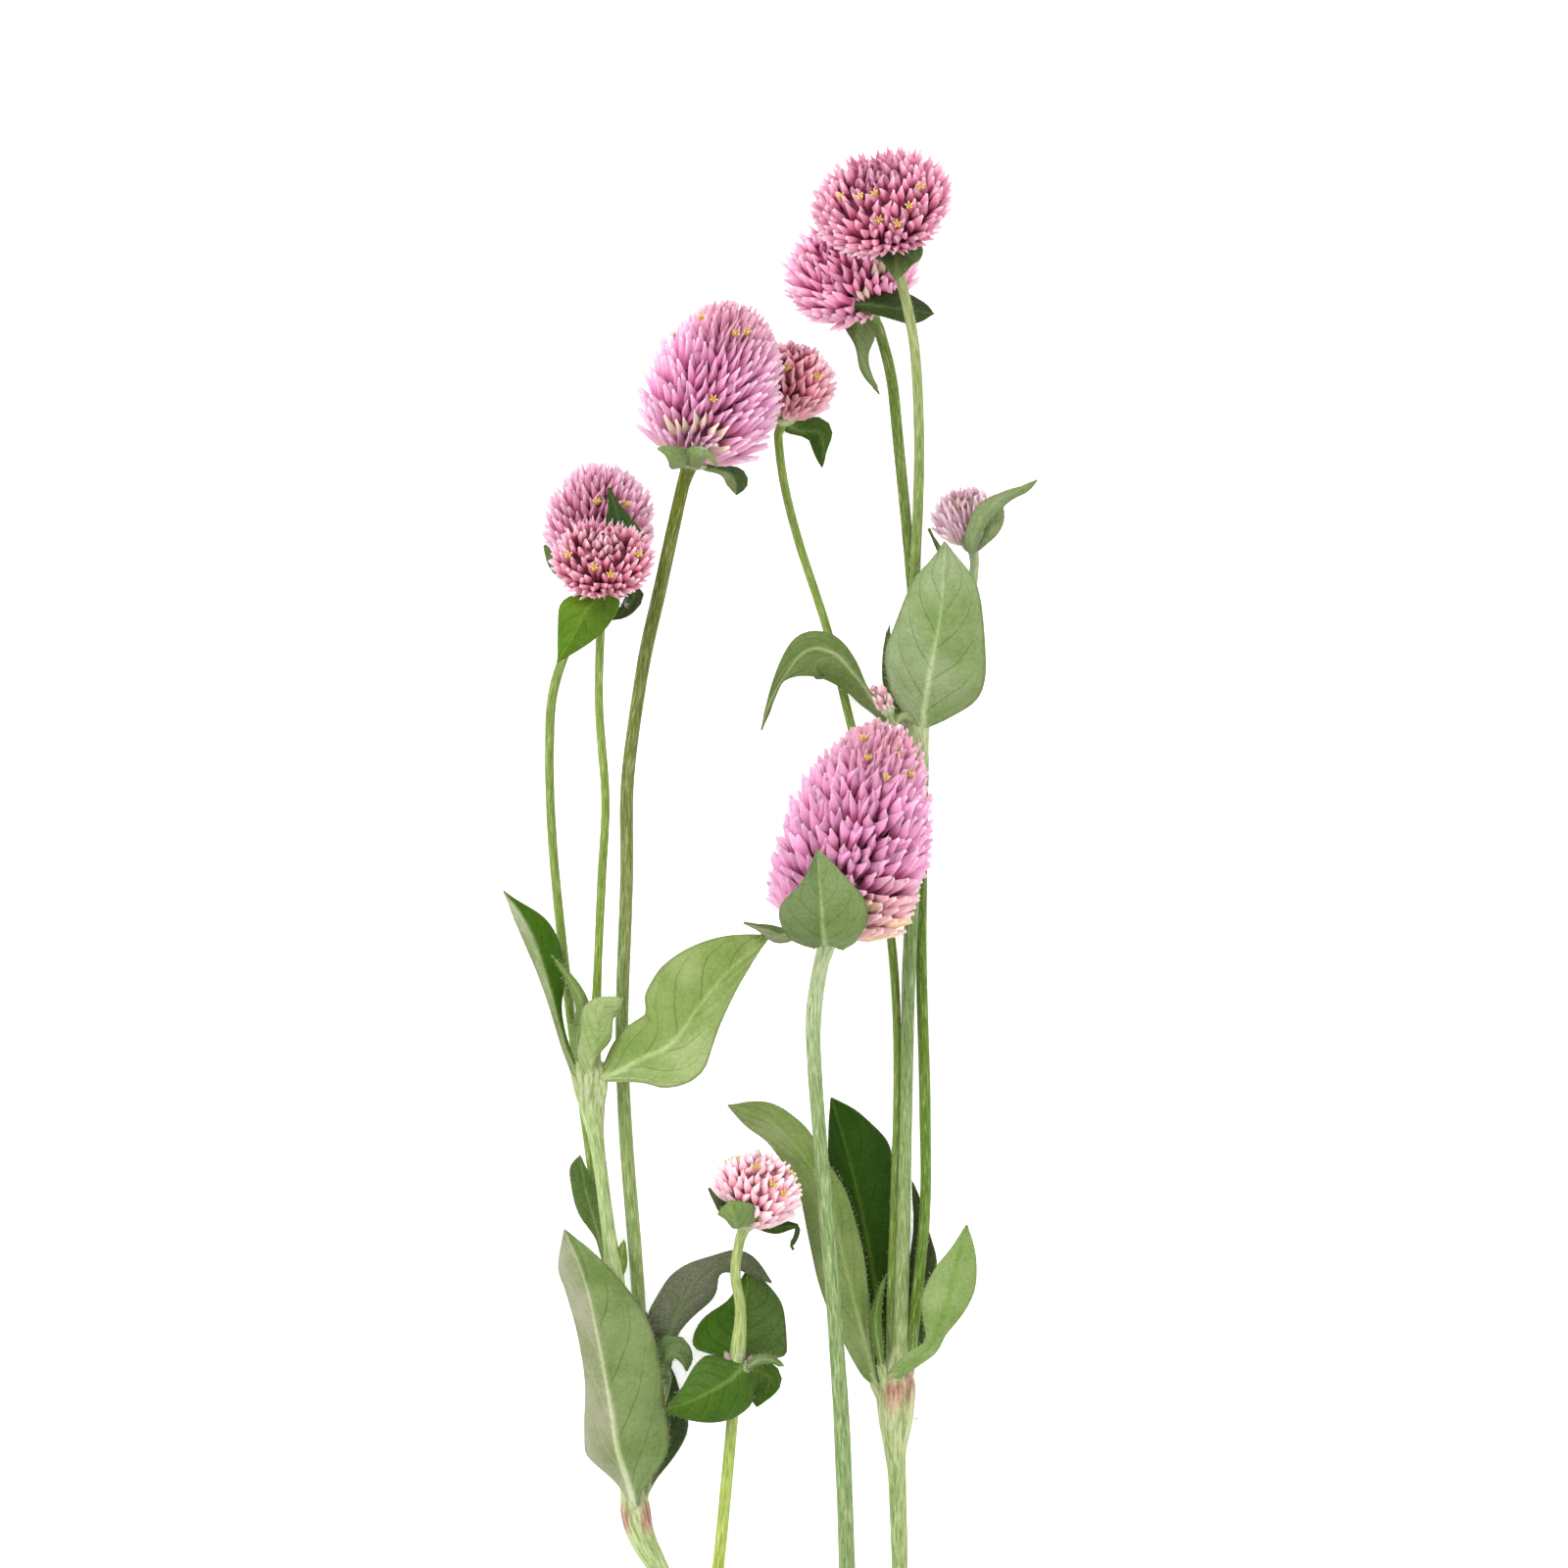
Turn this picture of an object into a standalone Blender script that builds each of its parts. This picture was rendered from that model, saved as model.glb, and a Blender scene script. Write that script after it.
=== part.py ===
"""A cut, branching stem of globe amaranth (Gomphrena globosa), dried and lying on a flat surface.

Sizes and places are in millimetres and are built in metres. +Z is up from the surface, +Y runs from the
cut end towards the topmost heads, and the origin is the middle of the underside of the whole spray.
"""

import math
import random

import bmesh
import bpy
from mathutils import Matrix, Vector
from mathutils.bvhtree import BVHTree

MM = 0.001
SEED = 11

CLEARANCE = 0.3  # air between one piece and the next
BLADE = 0.7  # thickness of a leaf blade
PETIOLE_HALF_WIDTH = 0.75
TIP_HALF_WIDTH = 0.2
GOLDEN_ANGLE = math.radians(137.508)
CURVE_STEPS = 12  # points to each span of a smooth curve
SURFACE_BLOCK = (400, 600, 20)  # the block that the spray lies on, for flattening what would dip into it

COLLAR_THICKNESS = 1.0  # the disc that carries the leafy bracts under a head
COLLAR_SHARE = 0.13  # collar radius as a share of the head's width
SMALLEST_COLLAR = 1.2
COLLAR_SIDES = 10
COLLAR_FOOT_SHARE = 0.75  # the radius of the collar's underside as a share of its upper side

# Colour, roughness of each finish
FINISHES = {
    "stem_green": ((0.36, 0.47, 0.16), 0.6),
    "leaf_green": ((0.22, 0.36, 0.12), 0.65),
    "floret_pink": ((0.66, 0.27, 0.42), 0.7),
}

# Each route is (x, y, height, radius) along the middle of one stem. The first runs from the cut end up
# the right-hand branch, and the others leave it or one another at a swollen node. A stem named for a
# head goes on to the collar of that head.
STEM_ROUTES = {
    "main_and_right_branch": [
        (18, -175.5, 1.8, 2.1), (18, -160.2, 2, 1.95), (18, -149.4, 2.7, 2.4),
        (18.5, -144, 3, 2.6), (21.2, -128.7, 3.6, 1.7), (23.4, -105.3, 4.5, 1.5),
        (23.7, -83.7, 5.2, 1.5), (23.3, -68, 5.8, 1.7), (22.9, -62.6, 6, 2.3), (22.9, -57, 6.3, 3.4),
        (23, -50.4, 6.5, 3.9), (23.6, -45, 6.3, 1.9), (24, -36, 6.1, 1.4), (24.8, -4.5, 5.8, 1.15),
        (25.4, 24.3, 5.4, 1.2), (26.6, 47.7, 5.4, 1.3), (27.4, 62.1, 5.9, 1.53),
        (27, 69.3, 6.7, 2.25), (27, 72, 6.8, 2.07),
    ],
    "front_cone": [
        (18, -146.7, 3.6, 1.7), (16.4, -119.7, 9, 1.6), (14.5, -92.7, 13.5, 1.53),
        (13, -56.7, 17.1, 1.45), (11.6, -36, 19, 1.35), (9.6, -11.7, 19.8, 1.28),
        (8.2, 6.3, 19.6, 1.28), (7.9, 17, 19.2, 1.4),
    ],
    "left_branch": [
        (18, -146.7, 3.1, 1.89), (8.1, -131.4, 3.4, 1.8), (-4.5, -112, 3.8, 1.8),
        (-11.7, -101.7, 4.1, 2.25), (-16.2, -92.7, 4.5, 1.71), (-20.3, -84.6, 4.9, 1.8),
        (-23.6, -78.3, 5.4, 2.61), (-24.8, -72.9, 5.8, 2.97), (-25.4, -66.6, 5.8, 1.98),
        (-27, -49.5, 5.9, 1.45), (-28.4, -32, 7.2, 1.7), (-29.6, -23, 7.8, 1.25),
        (-31, -11.7, 8.6, 1.2), (-32, -4.5, 9.2, 1.5), (-32.6, 1, 9.6, 2.5), (-32.6, 6.4, 9.9, 3.1),
    ],
    "left_tall": [
        (-24.5, -72, 4.9, 1.35), (-23.8, -54, 3.8, 1.2), (-23.9, -40.5, 3.6, 1.2),
        (-24.8, -26.1, 3.8, 1.2), (-26.5, -4.5, 4.5, 1.2), (-27.2, 15.3, 5.8, 1.2),
        (-26.3, 42.3, 8.6, 1.2), (-26.1, 60.3, 10.8, 1.2), (-23.4, 80.1, 13.5, 1.2),
        (-20, 96, 15, 1.2),
    ],
    "left_rear": [
        (-28.1, -31.5, 6.3, 0.85), (-31, -24.3, 4, 0.85), (-32.9, -9.9, 2.5, 0.85),
        (-34.4, 0.9, 2.6, 0.85), (-36.4, 15.3, 3.1, 0.85), (-38.3, 31.5, 3.4, 0.85),
        (-40, 49.5, 3.6, 0.85), (-40.5, 65.7, 4, 0.85), (-39.4, 78.3, 4.5, 0.9),
    ],
    "left_front": [
        (-32.2, 5.4, 10.4, 1.35), (-31.7, 22.5, 12.1, 0.8), (-30.8, 42.3, 14, 0.8),
        (-30.1, 56.7, 16, 0.8), (-31.2, 73, 19.4, 0.8), (-31.1, 84, 22.4, 0.8),
    ],
    "low_small": [
        (-11.7, -101.7, 4.3, 1.35), (-9.5, -83.7, 6.3, 1.12), (-8.1, -69.3, 8.6, 1.08),
        (-6.8, -54.9, 11.2, 1.05), (-6.2, -47, 12.6, 1.5), (-5.4, -36.9, 14, 0.99),
        (-6.4, -30, 15, 0.95),
    ],
    "shoot_behind_leaf": [
        (-23.9, -72.9, 5.4, 1.17), (-21.1, -58.5, 6.3, 0.99), (-19.3, -49.5, 7.2, 1.26),
    ],
    "top_rear": [
        (24.1, -55.8, 5.4, 1.44), (28.1, -22.5, 5, 1.0), (28.4, 0, 4.1, 1.0),
        (27.7, 27.9, 3.1, 1.0), (27.9, 51.3, 2.3, 1.0), (27.9, 69.3, 2.2, 1.0),
        (26.1, 94.5, 2.5, 1.0), (23.4, 123.3, 4.1, 1.0), (22.2, 134, 5, 1.0),
    ],
    "top_front": [
        (27, 69.3, 6.8, 1.44), (26.8, 82.8, 6.1, 0.93), (26.5, 96.3, 8.1, 0.93),
        (27, 109.8, 12.6, 0.93), (27.2, 123.3, 17.6, 0.93), (26.2, 140, 23, 0.93),
    ],
    "upper_small": [
        (22.3, -55.8, 5.9, 1.35), (22.4, -31.5, 5.2, 0.95), (23.3, 0, 4.7, 0.78),
        (22.8, 24.3, 3.8, 0.78), (20.2, 45, 2.9, 0.78), (16.7, 63, 2.5, 0.78), (14.4, 72, 2.5, 0.78),
        (10.6, 87.3, 2.5, 0.78), (5.4, 103.5, 2.7, 0.78), (2.6, 114.3, 2.9, 0.78),
    ],
    "right_small": [
        (27.4, 70.2, 5.9, 1.26), (33.3, 81, 5.4, 0.9), (36.6, 93, 5.2, 0.85),
    ],
    "bud": [
        (26.6, 71.1, 7.7, 0.9), (24.2, 72.2, 10, 0.7),
    ],
}
STEM_RING_SPACING = 17.0
STEM_SIDES = 8
STEM_END_REACH = 0.9  # how far a thickened stem also grows at its ends, as a share of what it is thickened by
THINNEST_COLLAR_END = 0.9
COLLAR_FLARE = ((3, 0), (0.8, 0.5), (0, 1))  # radii below the collar, and the share of the thickening there

# Where each head's middle is, the way its axis points, its full width and height over the floret tips,
# how many florets would cover a whole ball of it, how much it narrows upwards, and how far a floret at
# its waist leans out from the axis, in degrees.
HEADS = {
    "left_tall": ((-10.1, 132.7, 20.4), (0.29, 0.93, 0.2), 25.2, 31.2, 170, 0.14, 52),
    "front_cone": ((16, 50.9, 22.9), (0.26, 0.94, 0.17), 27, 42.3, 210, 0.2, 48),
    "top_front": ((20.2, 165.6, 32.5), (-0.2, 0.77, 0.6), 26, 15, 140, 0, 68),
    "top_rear": ((14.6, 154.2, 12.6), (-0.36, 0.78, 0.5), 25.4, 19, 140, 0.03, 64),
    "upper_small": ((3.9, 133.4, 7.8), (0.22, 0.94, 0.25), 16.6, 14.4, 76, 0.05, 58),
    "left_rear": ((-31.1, 108.4, 10.2), (0.14, 0.94, 0.32), 20.4, 20.4, 108, 0.08, 56),
    "left_front": ((-30.4, 100.8, 29), (0.02, 0.77, 0.64), 19, 10.6, 92, 0, 68),
    "low_small": ((-2.4, -14.4, 18.4), (0.3, 0.9, 0.3), 16.6, 13.8, 78, 0, 60),
    "right_small": ((36.2, 108.7, 6.6), (-0.15, 0.97, 0.16), 13.2, 10.8, 56, -0.1, 44),
    "bud": ((20.2, 75.6, 12), (-0.3, 0.92, 0.24), 4, 5.4, 22, 0.1, 40),
}
LOWEST_FLORET = math.radians(150)  # how far from the top of a head its florets reach
SHORTENING = math.radians(50)  # the last stretch above that, over which they get shorter
UNDERSIDE_SPREAD = 0.6  # how much wider than a ball a head stays below its waist
UNDERSIDE_TURN = math.radians(30)  # the last stretch of the underside, where it closes in
CORE_SHARE = 0.7  # the width between the florets' roots as a share of the head's width
BASE_SHARE = 0.94  # how far below its middle a head meets its collar, as a share of half its height
COLLAR_END_SHARE = 0.075  # the stem's radius at the collar as a share of the head's width
ROOM = 0.5  # how near the middle of a floret's side may come to another piece
DRAW_BACK = 0.08  # the steps, as shares of a floret's length, in which it is shortened to keep that room
PROBES = (0.25, 0.5, 0.75)  # where between a floret's tip and the points beside it that room is tried
GAP_DEPTH = 0.8  # how far from the middle the gaps between florets go, as a share of the core
LEAN_SPREAD = (0.8, 1.2)  # how unevenly florets lean
TURN_SPREAD = 0.06  # and turn sideways, in radians at the waist
LENGTH_SPREAD = (0.88, 1.06)  # and reach

# A leaf or bract is the points of its midrib, its half-widths to the left and to the right of the midrib
# at even steps between its ends, as seen from above, and how many degrees those halves bend down.
# Leaves start at their node and bracts at the collar of their head. The last number is how far back the
# lobes at its base reach.
LEAVES = {
    "leaf_lower_left_front": (
        [(-24.8, -73.3, 7.6), (-25.7, -69.3, 10.6), (-27.9, -62.3, 13.6), (-29.3, -53.3, 15.4),
         (-31.7, -40.5, 15.6), (-33.8, -31.5, 14.6), (-37.6, -22, 12.6)],
        [3.4, 5.4, 4.7, 3.8, 3.6, 3.9, 4], [6, 9.7, 9.9, 10.2, 9.6, 7.2, 3.8], 58, 12, 0),
    "leaf_lower_left_rear": (
        [(-24.1, -71.5, 3.6), (-19.8, -64.6, 2.3), (-18.4, -55.6, 2.2), (-20.5, -43.9, 2.3),
         (-23.6, -35.8, 2.4)],
        [2.3, 3.1, 3.2, 2.6, 1.5], [0.8, 2.8, 2.4, 1.3, 0.1], 4, 4, 0),
    "leaf_dark_curled": (
        [(-19.4, -49.1, 7.6), (-18.7, -43.4, 8.6), (-17.3, -38, 9.8), (-13.3, -30.8, 11),
         (-8.6, -26.8, 11), (-4.3, -27.7, 10.2), (0.2, -31.7, 9)],
        [3.5, 4.8, 4.4, 2.6, 0.5, 1.1], [1.2, 2.3, 4, 4, 3.2, 2], 14, 20, 0),
    "leaf_small_folded": (
        [(-19.8, -49.3, 8.4), (-20.2, -46.3, 10.6), (-17.3, -44.5, 11.4), (-14.4, -44.3, 11.4),
         (-14.2, -48.1, 10.4)],
        [0.9, 1.1, 1, 0.6], [1.3, 1.6, 1.4, 0.9], 14, 14, 0),
    "leaf_behind_left_stem": (
        [(-29.7, -30.1, 6.2), (-32, -21.4, 5), (-33.8, -15.1, 5), (-34.9, -8.5, 5.2)],
        [0.3, 1.4, 2.3, 2.3], [2, 2.5, 2.2, 1.4], 5, 5, 0),
    "leaf_between_left_stems": (
        [(-27.7, -31.5, 7.8), (-27.4, -27.7, 7.9), (-26.8, -23.9, 8.1)],
        [1.3, 1.4, 0.9], [1.1, 1.2, 0.8], 5, 5, 0),
    "leaf_middle_front": (
        [(-5, -47, 14.2), (-7.4, -49.3, 15.8), (-10.1, -50.9, 16.6), (-14, -52.9, 16.8),
         (-19.4, -54.9, 16.2)],
        [5.9, 6.3, 5.7, 4.3, 2.5], [5.7, 5.9, 5.3, 3.6, 1.8], 22, 16, 0),
    "leaf_middle_rear": (
        [(-5.8, -45.9, 11), (-5.4, -41.2, 8.2), (-4.7, -35.8, 7), (-3.8, -29, 6.6)],
        [8.4, 7.9, 5.9, 2.7, 1.6], [8.7, 8.4, 7.8, 6.7, 4], 6, 6, 0),
    "leaf_middle_lower": (
        [(-5, -47.2, 11), (-1.8, -48.1, 8.2), (0, -49.9, 7.2), (-2.5, -54.5, 7)],
        [1.9, 2.3, 2.1, 1.3], [2.7, 4.9, 3.5, 3], 8, 8, 0),
    "leaf_middle_thin": (
        [(-4.3, -47.3, 13.9), (-2.9, -46.1, 15), (-0.4, -45.5, 15.2), (2.5, -46.8, 14.8)],
        [1, 1.1, 0.7], [0.8, 0.9, 0.6], 12, 12, 0),
    "leaf_upper_left_broad": (
        [(-30.8, 5.9, 11.3), (-27.7, 7, 13.4), (-23.8, 9.2, 15.6), (-18, 12.1, 17.4),
         (-13.3, 18.5, 17.2), (-7.6, 25.4, 14.8), (0, 32, 11)],
        [5.4, 6.9, 7.7, 9.5, 9.5, 7.6, 4.4], [3, 6.7, 7.7, 5.7, 4.4, 3.1, 1.6], 14, 10, 0),
    "leaf_upper_left_narrow": (
        [(-35.3, 6.3, 9.6), (-37.8, 12.4, 9.8), (-40.3, 21.8, 10.4), (-42.8, 29.9, 11),
         (-45.7, 35.8, 11.2), (-48.8, 40, 10.6)],
        [0.7, 0.8, 1.1, 1.4, 1.7, 1.4], [0.8, 1, 2.4, 3.9, 4, 2], -24, 18, 0),
    "leaf_upper_left_curled": (
        [(-33.1, 6.3, 12.6), (-32.4, 10.3, 14.6), (-31.9, 14.2, 16), (-31.3, 17.8, 16.8),
         (-29.5, 20, 16.8), (-26.8, 20.3, 16.2)],
        [2.9, 2.7, 2.9, 1.3], [0.7, 2.9, 2.9, 3.1], 16, 16, 0),
    "leaf_upper_left_thin": (
        [(-34.4, 7.4, 11.6), (-35.3, 12.8, 13.4), (-34.2, 18.2, 14), (-36, 23, 14.6),
         (-39.6, 27.9, 14.2)],
        [1.1, 1.4, 1.3, 0.8], [1, 1.3, 1.1, 0.7], 12, 12, 0),
    "leaf_right_long": (
        [(19.4, -50.2, 7.6), (16.6, -39.8, 8), (13.7, -28.6, 8.2), (10.8, -16.9, 8.2),
         (5.2, -7.4, 8), (-0.7, -2, 7.8), (-7.7, 0.7, 7.6)],
        [3.5, 4.8, 5.2, 5.4, 4.4, 3.8, 3.1], [1.6, 2.8, 3.7, 3.5, 3.2, 3.5, 3.3], 14, 8, 0),
    "leaf_right_dark": (
        [(21.6, -48.8, 4), (19.8, -35.8, 1.9), (17.3, -21.4, 1.5), (14.4, -8.8, 1.5),
         (11.2, 2, 1.8)],
        [3.8, 5.3, 5.8, 5.3, 4.1, 2.4], [1.7, 3.2, 4.4, 5.9, 7.3, 6.1], 3, 3, 0),
    "leaf_right_dark_small": (
        [(24.5, -48.4, 4), (26.6, -35.8, 3), (27.7, -23.2, 2.8), (26.1, -13.5, 2.7)],
        [1.6, 2.1, 2.1, 1.7, 1], [2.5, 3.2, 3.1, 2.1, 0.9], 3, 3, 0),
    "leaf_right_light": (
        [(21.6, -49.5, 8.8), (25.6, -46.6, 10.8), (29.2, -42.7, 12), (31.9, -36.7, 12.4),
         (33.8, -28.6, 11.8), (36, -21.1, 10.6)],
        [1.8, 1.2, 3.2, 4.5, 3.5, 1.5], [1, 1.9, 2.1, 3.7, 4.2, 2.9], 12, 12, 0),
    "leaf_right_sliver": (
        [(20.5, -47.7, 8.8), (19.3, -39.4, 9.6), (20, -34, 9.4), (21.2, -30.4, 9.2)],
        [0.9, 1.1, 1, 0.6], [0.9, 1.1, 1, 0.6], 10, 10, 0),
    "leaf_top_broad": (
        [(27.9, 70, 8.8), (28.4, 74.9, 10.8), (29.5, 81.2, 12.6), (31.3, 92, 13.4),
         (31.9, 103.9, 12.4)],
        [5.8, 7.8, 8.8, 8.1, 7.3, 6, 3.2], [7.5, 9.9, 9.9, 8.9, 7.7, 6.5, 3.8], 8, 8, 0),
    "leaf_top_arched": (
        [(25, 71.3, 7.2), (20.2, 73.6, 8), (16.2, 78.7, 9.6), (11.9, 83.3, 11.6), (7, 84.1, 12.4),
         (2.5, 79.4, 11.6), (0, 74.3, 10.2), (-1.6, 69.5, 9)],
        [2, 2.6, 3.9, 5.3, 5.7, 3.5, 0.3, 0.3], [0.5, 0.6, 1.4, 2.4, 3, 2.3, 1.1, 0.4], 14, 18, 0),
    "leaf_top_sliver": (
        [(25.6, 71.1, 4.2), (22.1, 76.9, 5.2), (21.4, 83.3, 6.2), (21.8, 88.7, 6.6)],
        [0.9, 1.1, 1, 0.6], [0.7, 0.9, 0.8, 0.5], 8, 8, 0),
    "leaf_top_rear": (
        [(27.7, 72.2, 4.6), (29.9, 79.4, 5), (31.5, 90.2, 6), (31.7, 99.2, 7), (29, 106.4, 7.6)],
        [1.2, 1.6, 1.6, 1.3, 0.8], [1.2, 1.6, 1.6, 1.3, 0.8], 8, 8, 0),
}
WIDE_BLADE = 4.5  # a blade with a half-width over this has two faces across each half
STEEPEST = 0.4  # a midrib with a level share under this keeps the direction of the stretch after it

BRACTS = {
    "left_tall": [
        (
            [(-15.7, 116.1, 23), (-16.9, 117.2, 27.4), (-18.4, 119.3, 30.4), (-20.3, 121, 30.4)],
            [1.4, 1.8, 1.6, 1], [1.9, 2.3, 2.1, 1.3], 14, 14, 0),
        (
            [(-13.7, 115.7, 23), (-12.4, 116.8, 29.6), (-11, 119, 32), (-9.9, 120.6, 32.6)],
            [1.9, 2.3, 2.1, 1.3], [1.6, 2, 1.8, 1.1], 14, 14, 0),
        (
            [(-11.5, 116.3, 15.2), (-8.6, 115.7, 14), (-6.7, 114.5, 13.4), (-5.4, 112.1, 13.4)],
            [1.3, 1.6, 1.4, 0.9], [1.6, 2, 1.8, 1.1], 12, 12, 0),
    ],
    "front_cone": [
        (
            [(10.1, 29, 26), (9.9, 29.7, 32), (9.7, 32.9, 36), (9.4, 37.1, 37), (9, 42.5, 37.6),
             (8.6, 47.7, 37.6)],
            [2.3, 4, 5.8, 7.5, 7.5, 4.4, 2.1], [2.4, 4.3, 6.2, 8.1, 7.7, 5.9, 3.3], 14, 14, 3),
        (
            [(5.8, 30.1, 16.6), (2, 31.1, 15.4), (-1.1, 33.1, 14.6), (-4.9, 34.2, 14.2)],
            [1.3, 1.6, 1.4, 0.9], [1.3, 1.6, 1.4, 0.9], 8, 8, 0),
    ],
    "top_front": [
        (
            [(22.5, 155.3, 31.4), (22.7, 153.2, 34), (22.9, 150.1, 35.6)],
            [3, 5.5, 4.2, 3.3, 1.7], [4.3, 3.8, 3, 2.4, 1.2], 10, 10, 2),
    ],
    "top_rear": [
        (
            [(21.6, 146.3, 7.8), (25.6, 147.1, 8.4), (29.5, 146, 8.8)],
            [3.6, 3.4, 2.8, 2.2, 1.6], [1.7, 2.2, 3, 3.3, 2.4], 30, 6, 0),
        (
            [(16.4, 144.7, 6.4), (16, 141.5, 6.8), (17.1, 136.1, 7.4), (20, 131, 8.2)],
            [3.1, 3.2, 1.8, 1.2, 0.5], [3.4, 1.3, 0.6, 0.7, 0.5], 12, 12, 0),
    ],
    "upper_small": [
        (
            [(5, 124.4, 4), (8.6, 124.2, 3.6), (9.7, 121.5, 4), (9.5, 117.7, 4.4)],
            [2, 2.3, 2.7, 1.3, 0.3], [0.7, 1.1, 2.4, 2.2, 1.7], 12, 12, 0),
    ],
    "left_rear": [
        (
            [(-36.4, 94.5, 7), (-39.6, 96.7, 5.6), (-42.3, 101.7, 5.2)],
            [0.9, 1.1, 1, 0.6], [1.1, 1.4, 1.3, 0.8], 8, 8, 0),
    ],
    "left_front": [
        (
            [(-31.5, 93.6, 26.8), (-33.5, 91.1, 28.2), (-35.6, 86.9, 28), (-38.7, 81.7, 26.6)],
            [2.4, 4.6, 4.3, 2.8, 1.1], [1.8, 3.2, 3.2, 2.4, 1.1], 10, 14, 0.5),
        (
            [(-26.6, 93.4, 23), (-23.6, 92.3, 21.8)],
            [1, 1.3, 1.1, 0.7], [1.3, 1.6, 1.4, 0.9], 8, 8, 0),
        (
            [(-27.7, 96.1, 22.4), (-24.5, 100.3, 21.2), (-25.4, 106.4, 21), (-29.5, 113.6, 20.6)],
            [1.8, 2.4, 2.5, 2, 1.2], [1.7, 2.3, 2.3, 1.9, 1.1], 6, 6, 0),
    ],
    "low_small": [
        (
            [(-5.2, -22.9, 18.6), (-5.9, -22.9, 23), (-7.2, -21.2, 27), (-9, -17.8, 27.6),
             (-11, -14, 25)],
            [0.9, 1.2, 1.4, 1.4, 1.2, 0.8], [1.3, 2.3, 4, 5.2, 4.5, 1.8], 14, 0, 0),
        (
            [(-1.4, -22.5, 14.4), (2.2, -22.5, 12.8), (4.5, -22.9, 12.2), (4, -25.6, 12)],
            [0.8, 1, 1.1, 0.9, 0.5], [0.8, 1, 1.1, 0.9, 0.5], 10, 10, 0),
    ],
    "right_small": [
        (
            [(37.8, 101.7, 8.4), (40, 103.5, 11.6), (42.3, 108.2, 12.6), (45, 112.1, 12.6),
             (48.8, 115, 11.6)],
            [1, 1.4, 1.4, 1.1, 0.7], [1.4, 1.9, 1.9, 1.6, 0.9], 10, 14, 0),
        (
            [(39.2, 102.2, 4.8), (41.6, 104.6, 4.2), (43.2, 108.7, 4.2)],
            [1, 1.3, 1.1, 0.7], [1, 1.3, 1.1, 0.7], 10, 10, 0),
    ],
}


def clear_scene():
    """Start from an empty scene."""
    for obj in list(bpy.data.objects):
        bpy.data.objects.remove(obj)


def make_material(name):
    """The plain finish of one kind of piece."""
    colour, roughness = FINISHES[name]
    material = bpy.data.materials.new(name)
    material.use_nodes = True
    shader = material.node_tree.nodes["Principled BSDF"]
    shader.inputs["Base Color"].default_value = (*colour, 1)
    shader.inputs["Roughness"].default_value = roughness
    shader.inputs["Metallic"].default_value = 0
    return material


def make_collection(name):
    collection = bpy.data.collections.new(name)
    bpy.context.scene.collection.children.link(collection)
    return collection


def add_object(name, data, collection):
    obj = bpy.data.objects.new(name, data)
    collection.objects.link(obj)
    return obj


def catmull_rom(points, per_span):
    """A dense smooth curve through the points."""
    ends = [2 * points[0] - points[1], *points, 2 * points[-1] - points[-2]]
    dense = []
    for before, start, end, after in zip(ends, ends[1:], ends[2:], ends[3:]):
        for step in range(per_span):
            t = step / per_span
            dense.append(0.5 * (
                2 * start + (end - before) * t
                + (2 * before - 5 * start + 4 * end - after) * t ** 2
                + (3 * start - before - 3 * end + after) * t ** 3))
    return [*dense, points[-1].copy()]


def resample(dense, count):
    """count + 1 points at even steps along a dense curve."""
    travelled = [0.0]
    for a, b in zip(dense, dense[1:]):
        travelled.append(travelled[-1] + (b.xyz - a.xyz).length)
    evenly, at = [], 0
    for step in range(count + 1):
        target = travelled[-1] * step / count
        while at < len(dense) - 2 and travelled[at + 1] < target:
            at += 1
        span = travelled[at + 1] - travelled[at]
        evenly.append(dense[at].lerp(dense[at + 1], min(1, (target - travelled[at]) / span)))
    return evenly


def smooth_route(points, count):
    return resample(catmull_rom([Vector(p) for p in points], CURVE_STEPS), count)


def evaluated_mesh(obj):
    """The object's mesh with its modifiers, or a curve's surface with its caps welded on."""
    graph = bpy.context.evaluated_depsgraph_get()
    mesh = bpy.data.meshes.new_from_object(obj.evaluated_get(graph))
    work = bmesh.new()
    work.from_mesh(mesh)
    bmesh.ops.remove_doubles(work, verts=work.verts, dist=0.001 * MM)
    work.to_mesh(mesh)
    work.free()
    return mesh


def settle(obj):
    """Apply an object's modifiers, so that its mesh is what they make."""
    mesh = evaluated_mesh(obj)
    obj.modifiers.clear()
    obj.data = mesh


def fuse(obj, collection):
    """Join everything in the collection to obj as one solid, and remove the collection."""
    union = obj.modifiers.new("union", "BOOLEAN")
    union.operation = "UNION"
    union.operand_type = "COLLECTION"
    union.collection = collection
    union.solver = "MANIFOLD"
    settle(obj)
    for other in list(collection.objects):
        bpy.data.objects.remove(other)
    bpy.data.collections.remove(collection)


def cut(obj, cutter):
    """Cut the cutter's shape out of obj."""
    difference = obj.modifiers.new("clearance", "BOOLEAN")
    difference.operation = "DIFFERENCE"
    difference.object = cutter
    difference.solver = "MANIFOLD"
    settle(obj)


def keep_largest_body(obj):
    """Drop the loose scraps that a cut leaves."""
    work = bmesh.new()
    work.from_mesh(obj.data)
    waiting, bodies = set(work.verts), []
    while waiting:
        front = [waiting.pop()]
        body = set(front)
        while front:
            vert = front.pop()
            for edge in vert.link_edges:
                other = edge.other_vert(vert)
                if other in waiting:
                    waiting.remove(other)
                    body.add(other)
                    front.append(other)
        bodies.append(body)
    bodies.sort(key=len)
    for scrap in bodies[:-1]:
        bmesh.ops.delete(work, geom=list(scrap), context="VERTS")
    work.to_mesh(obj.data)
    work.free()


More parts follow.
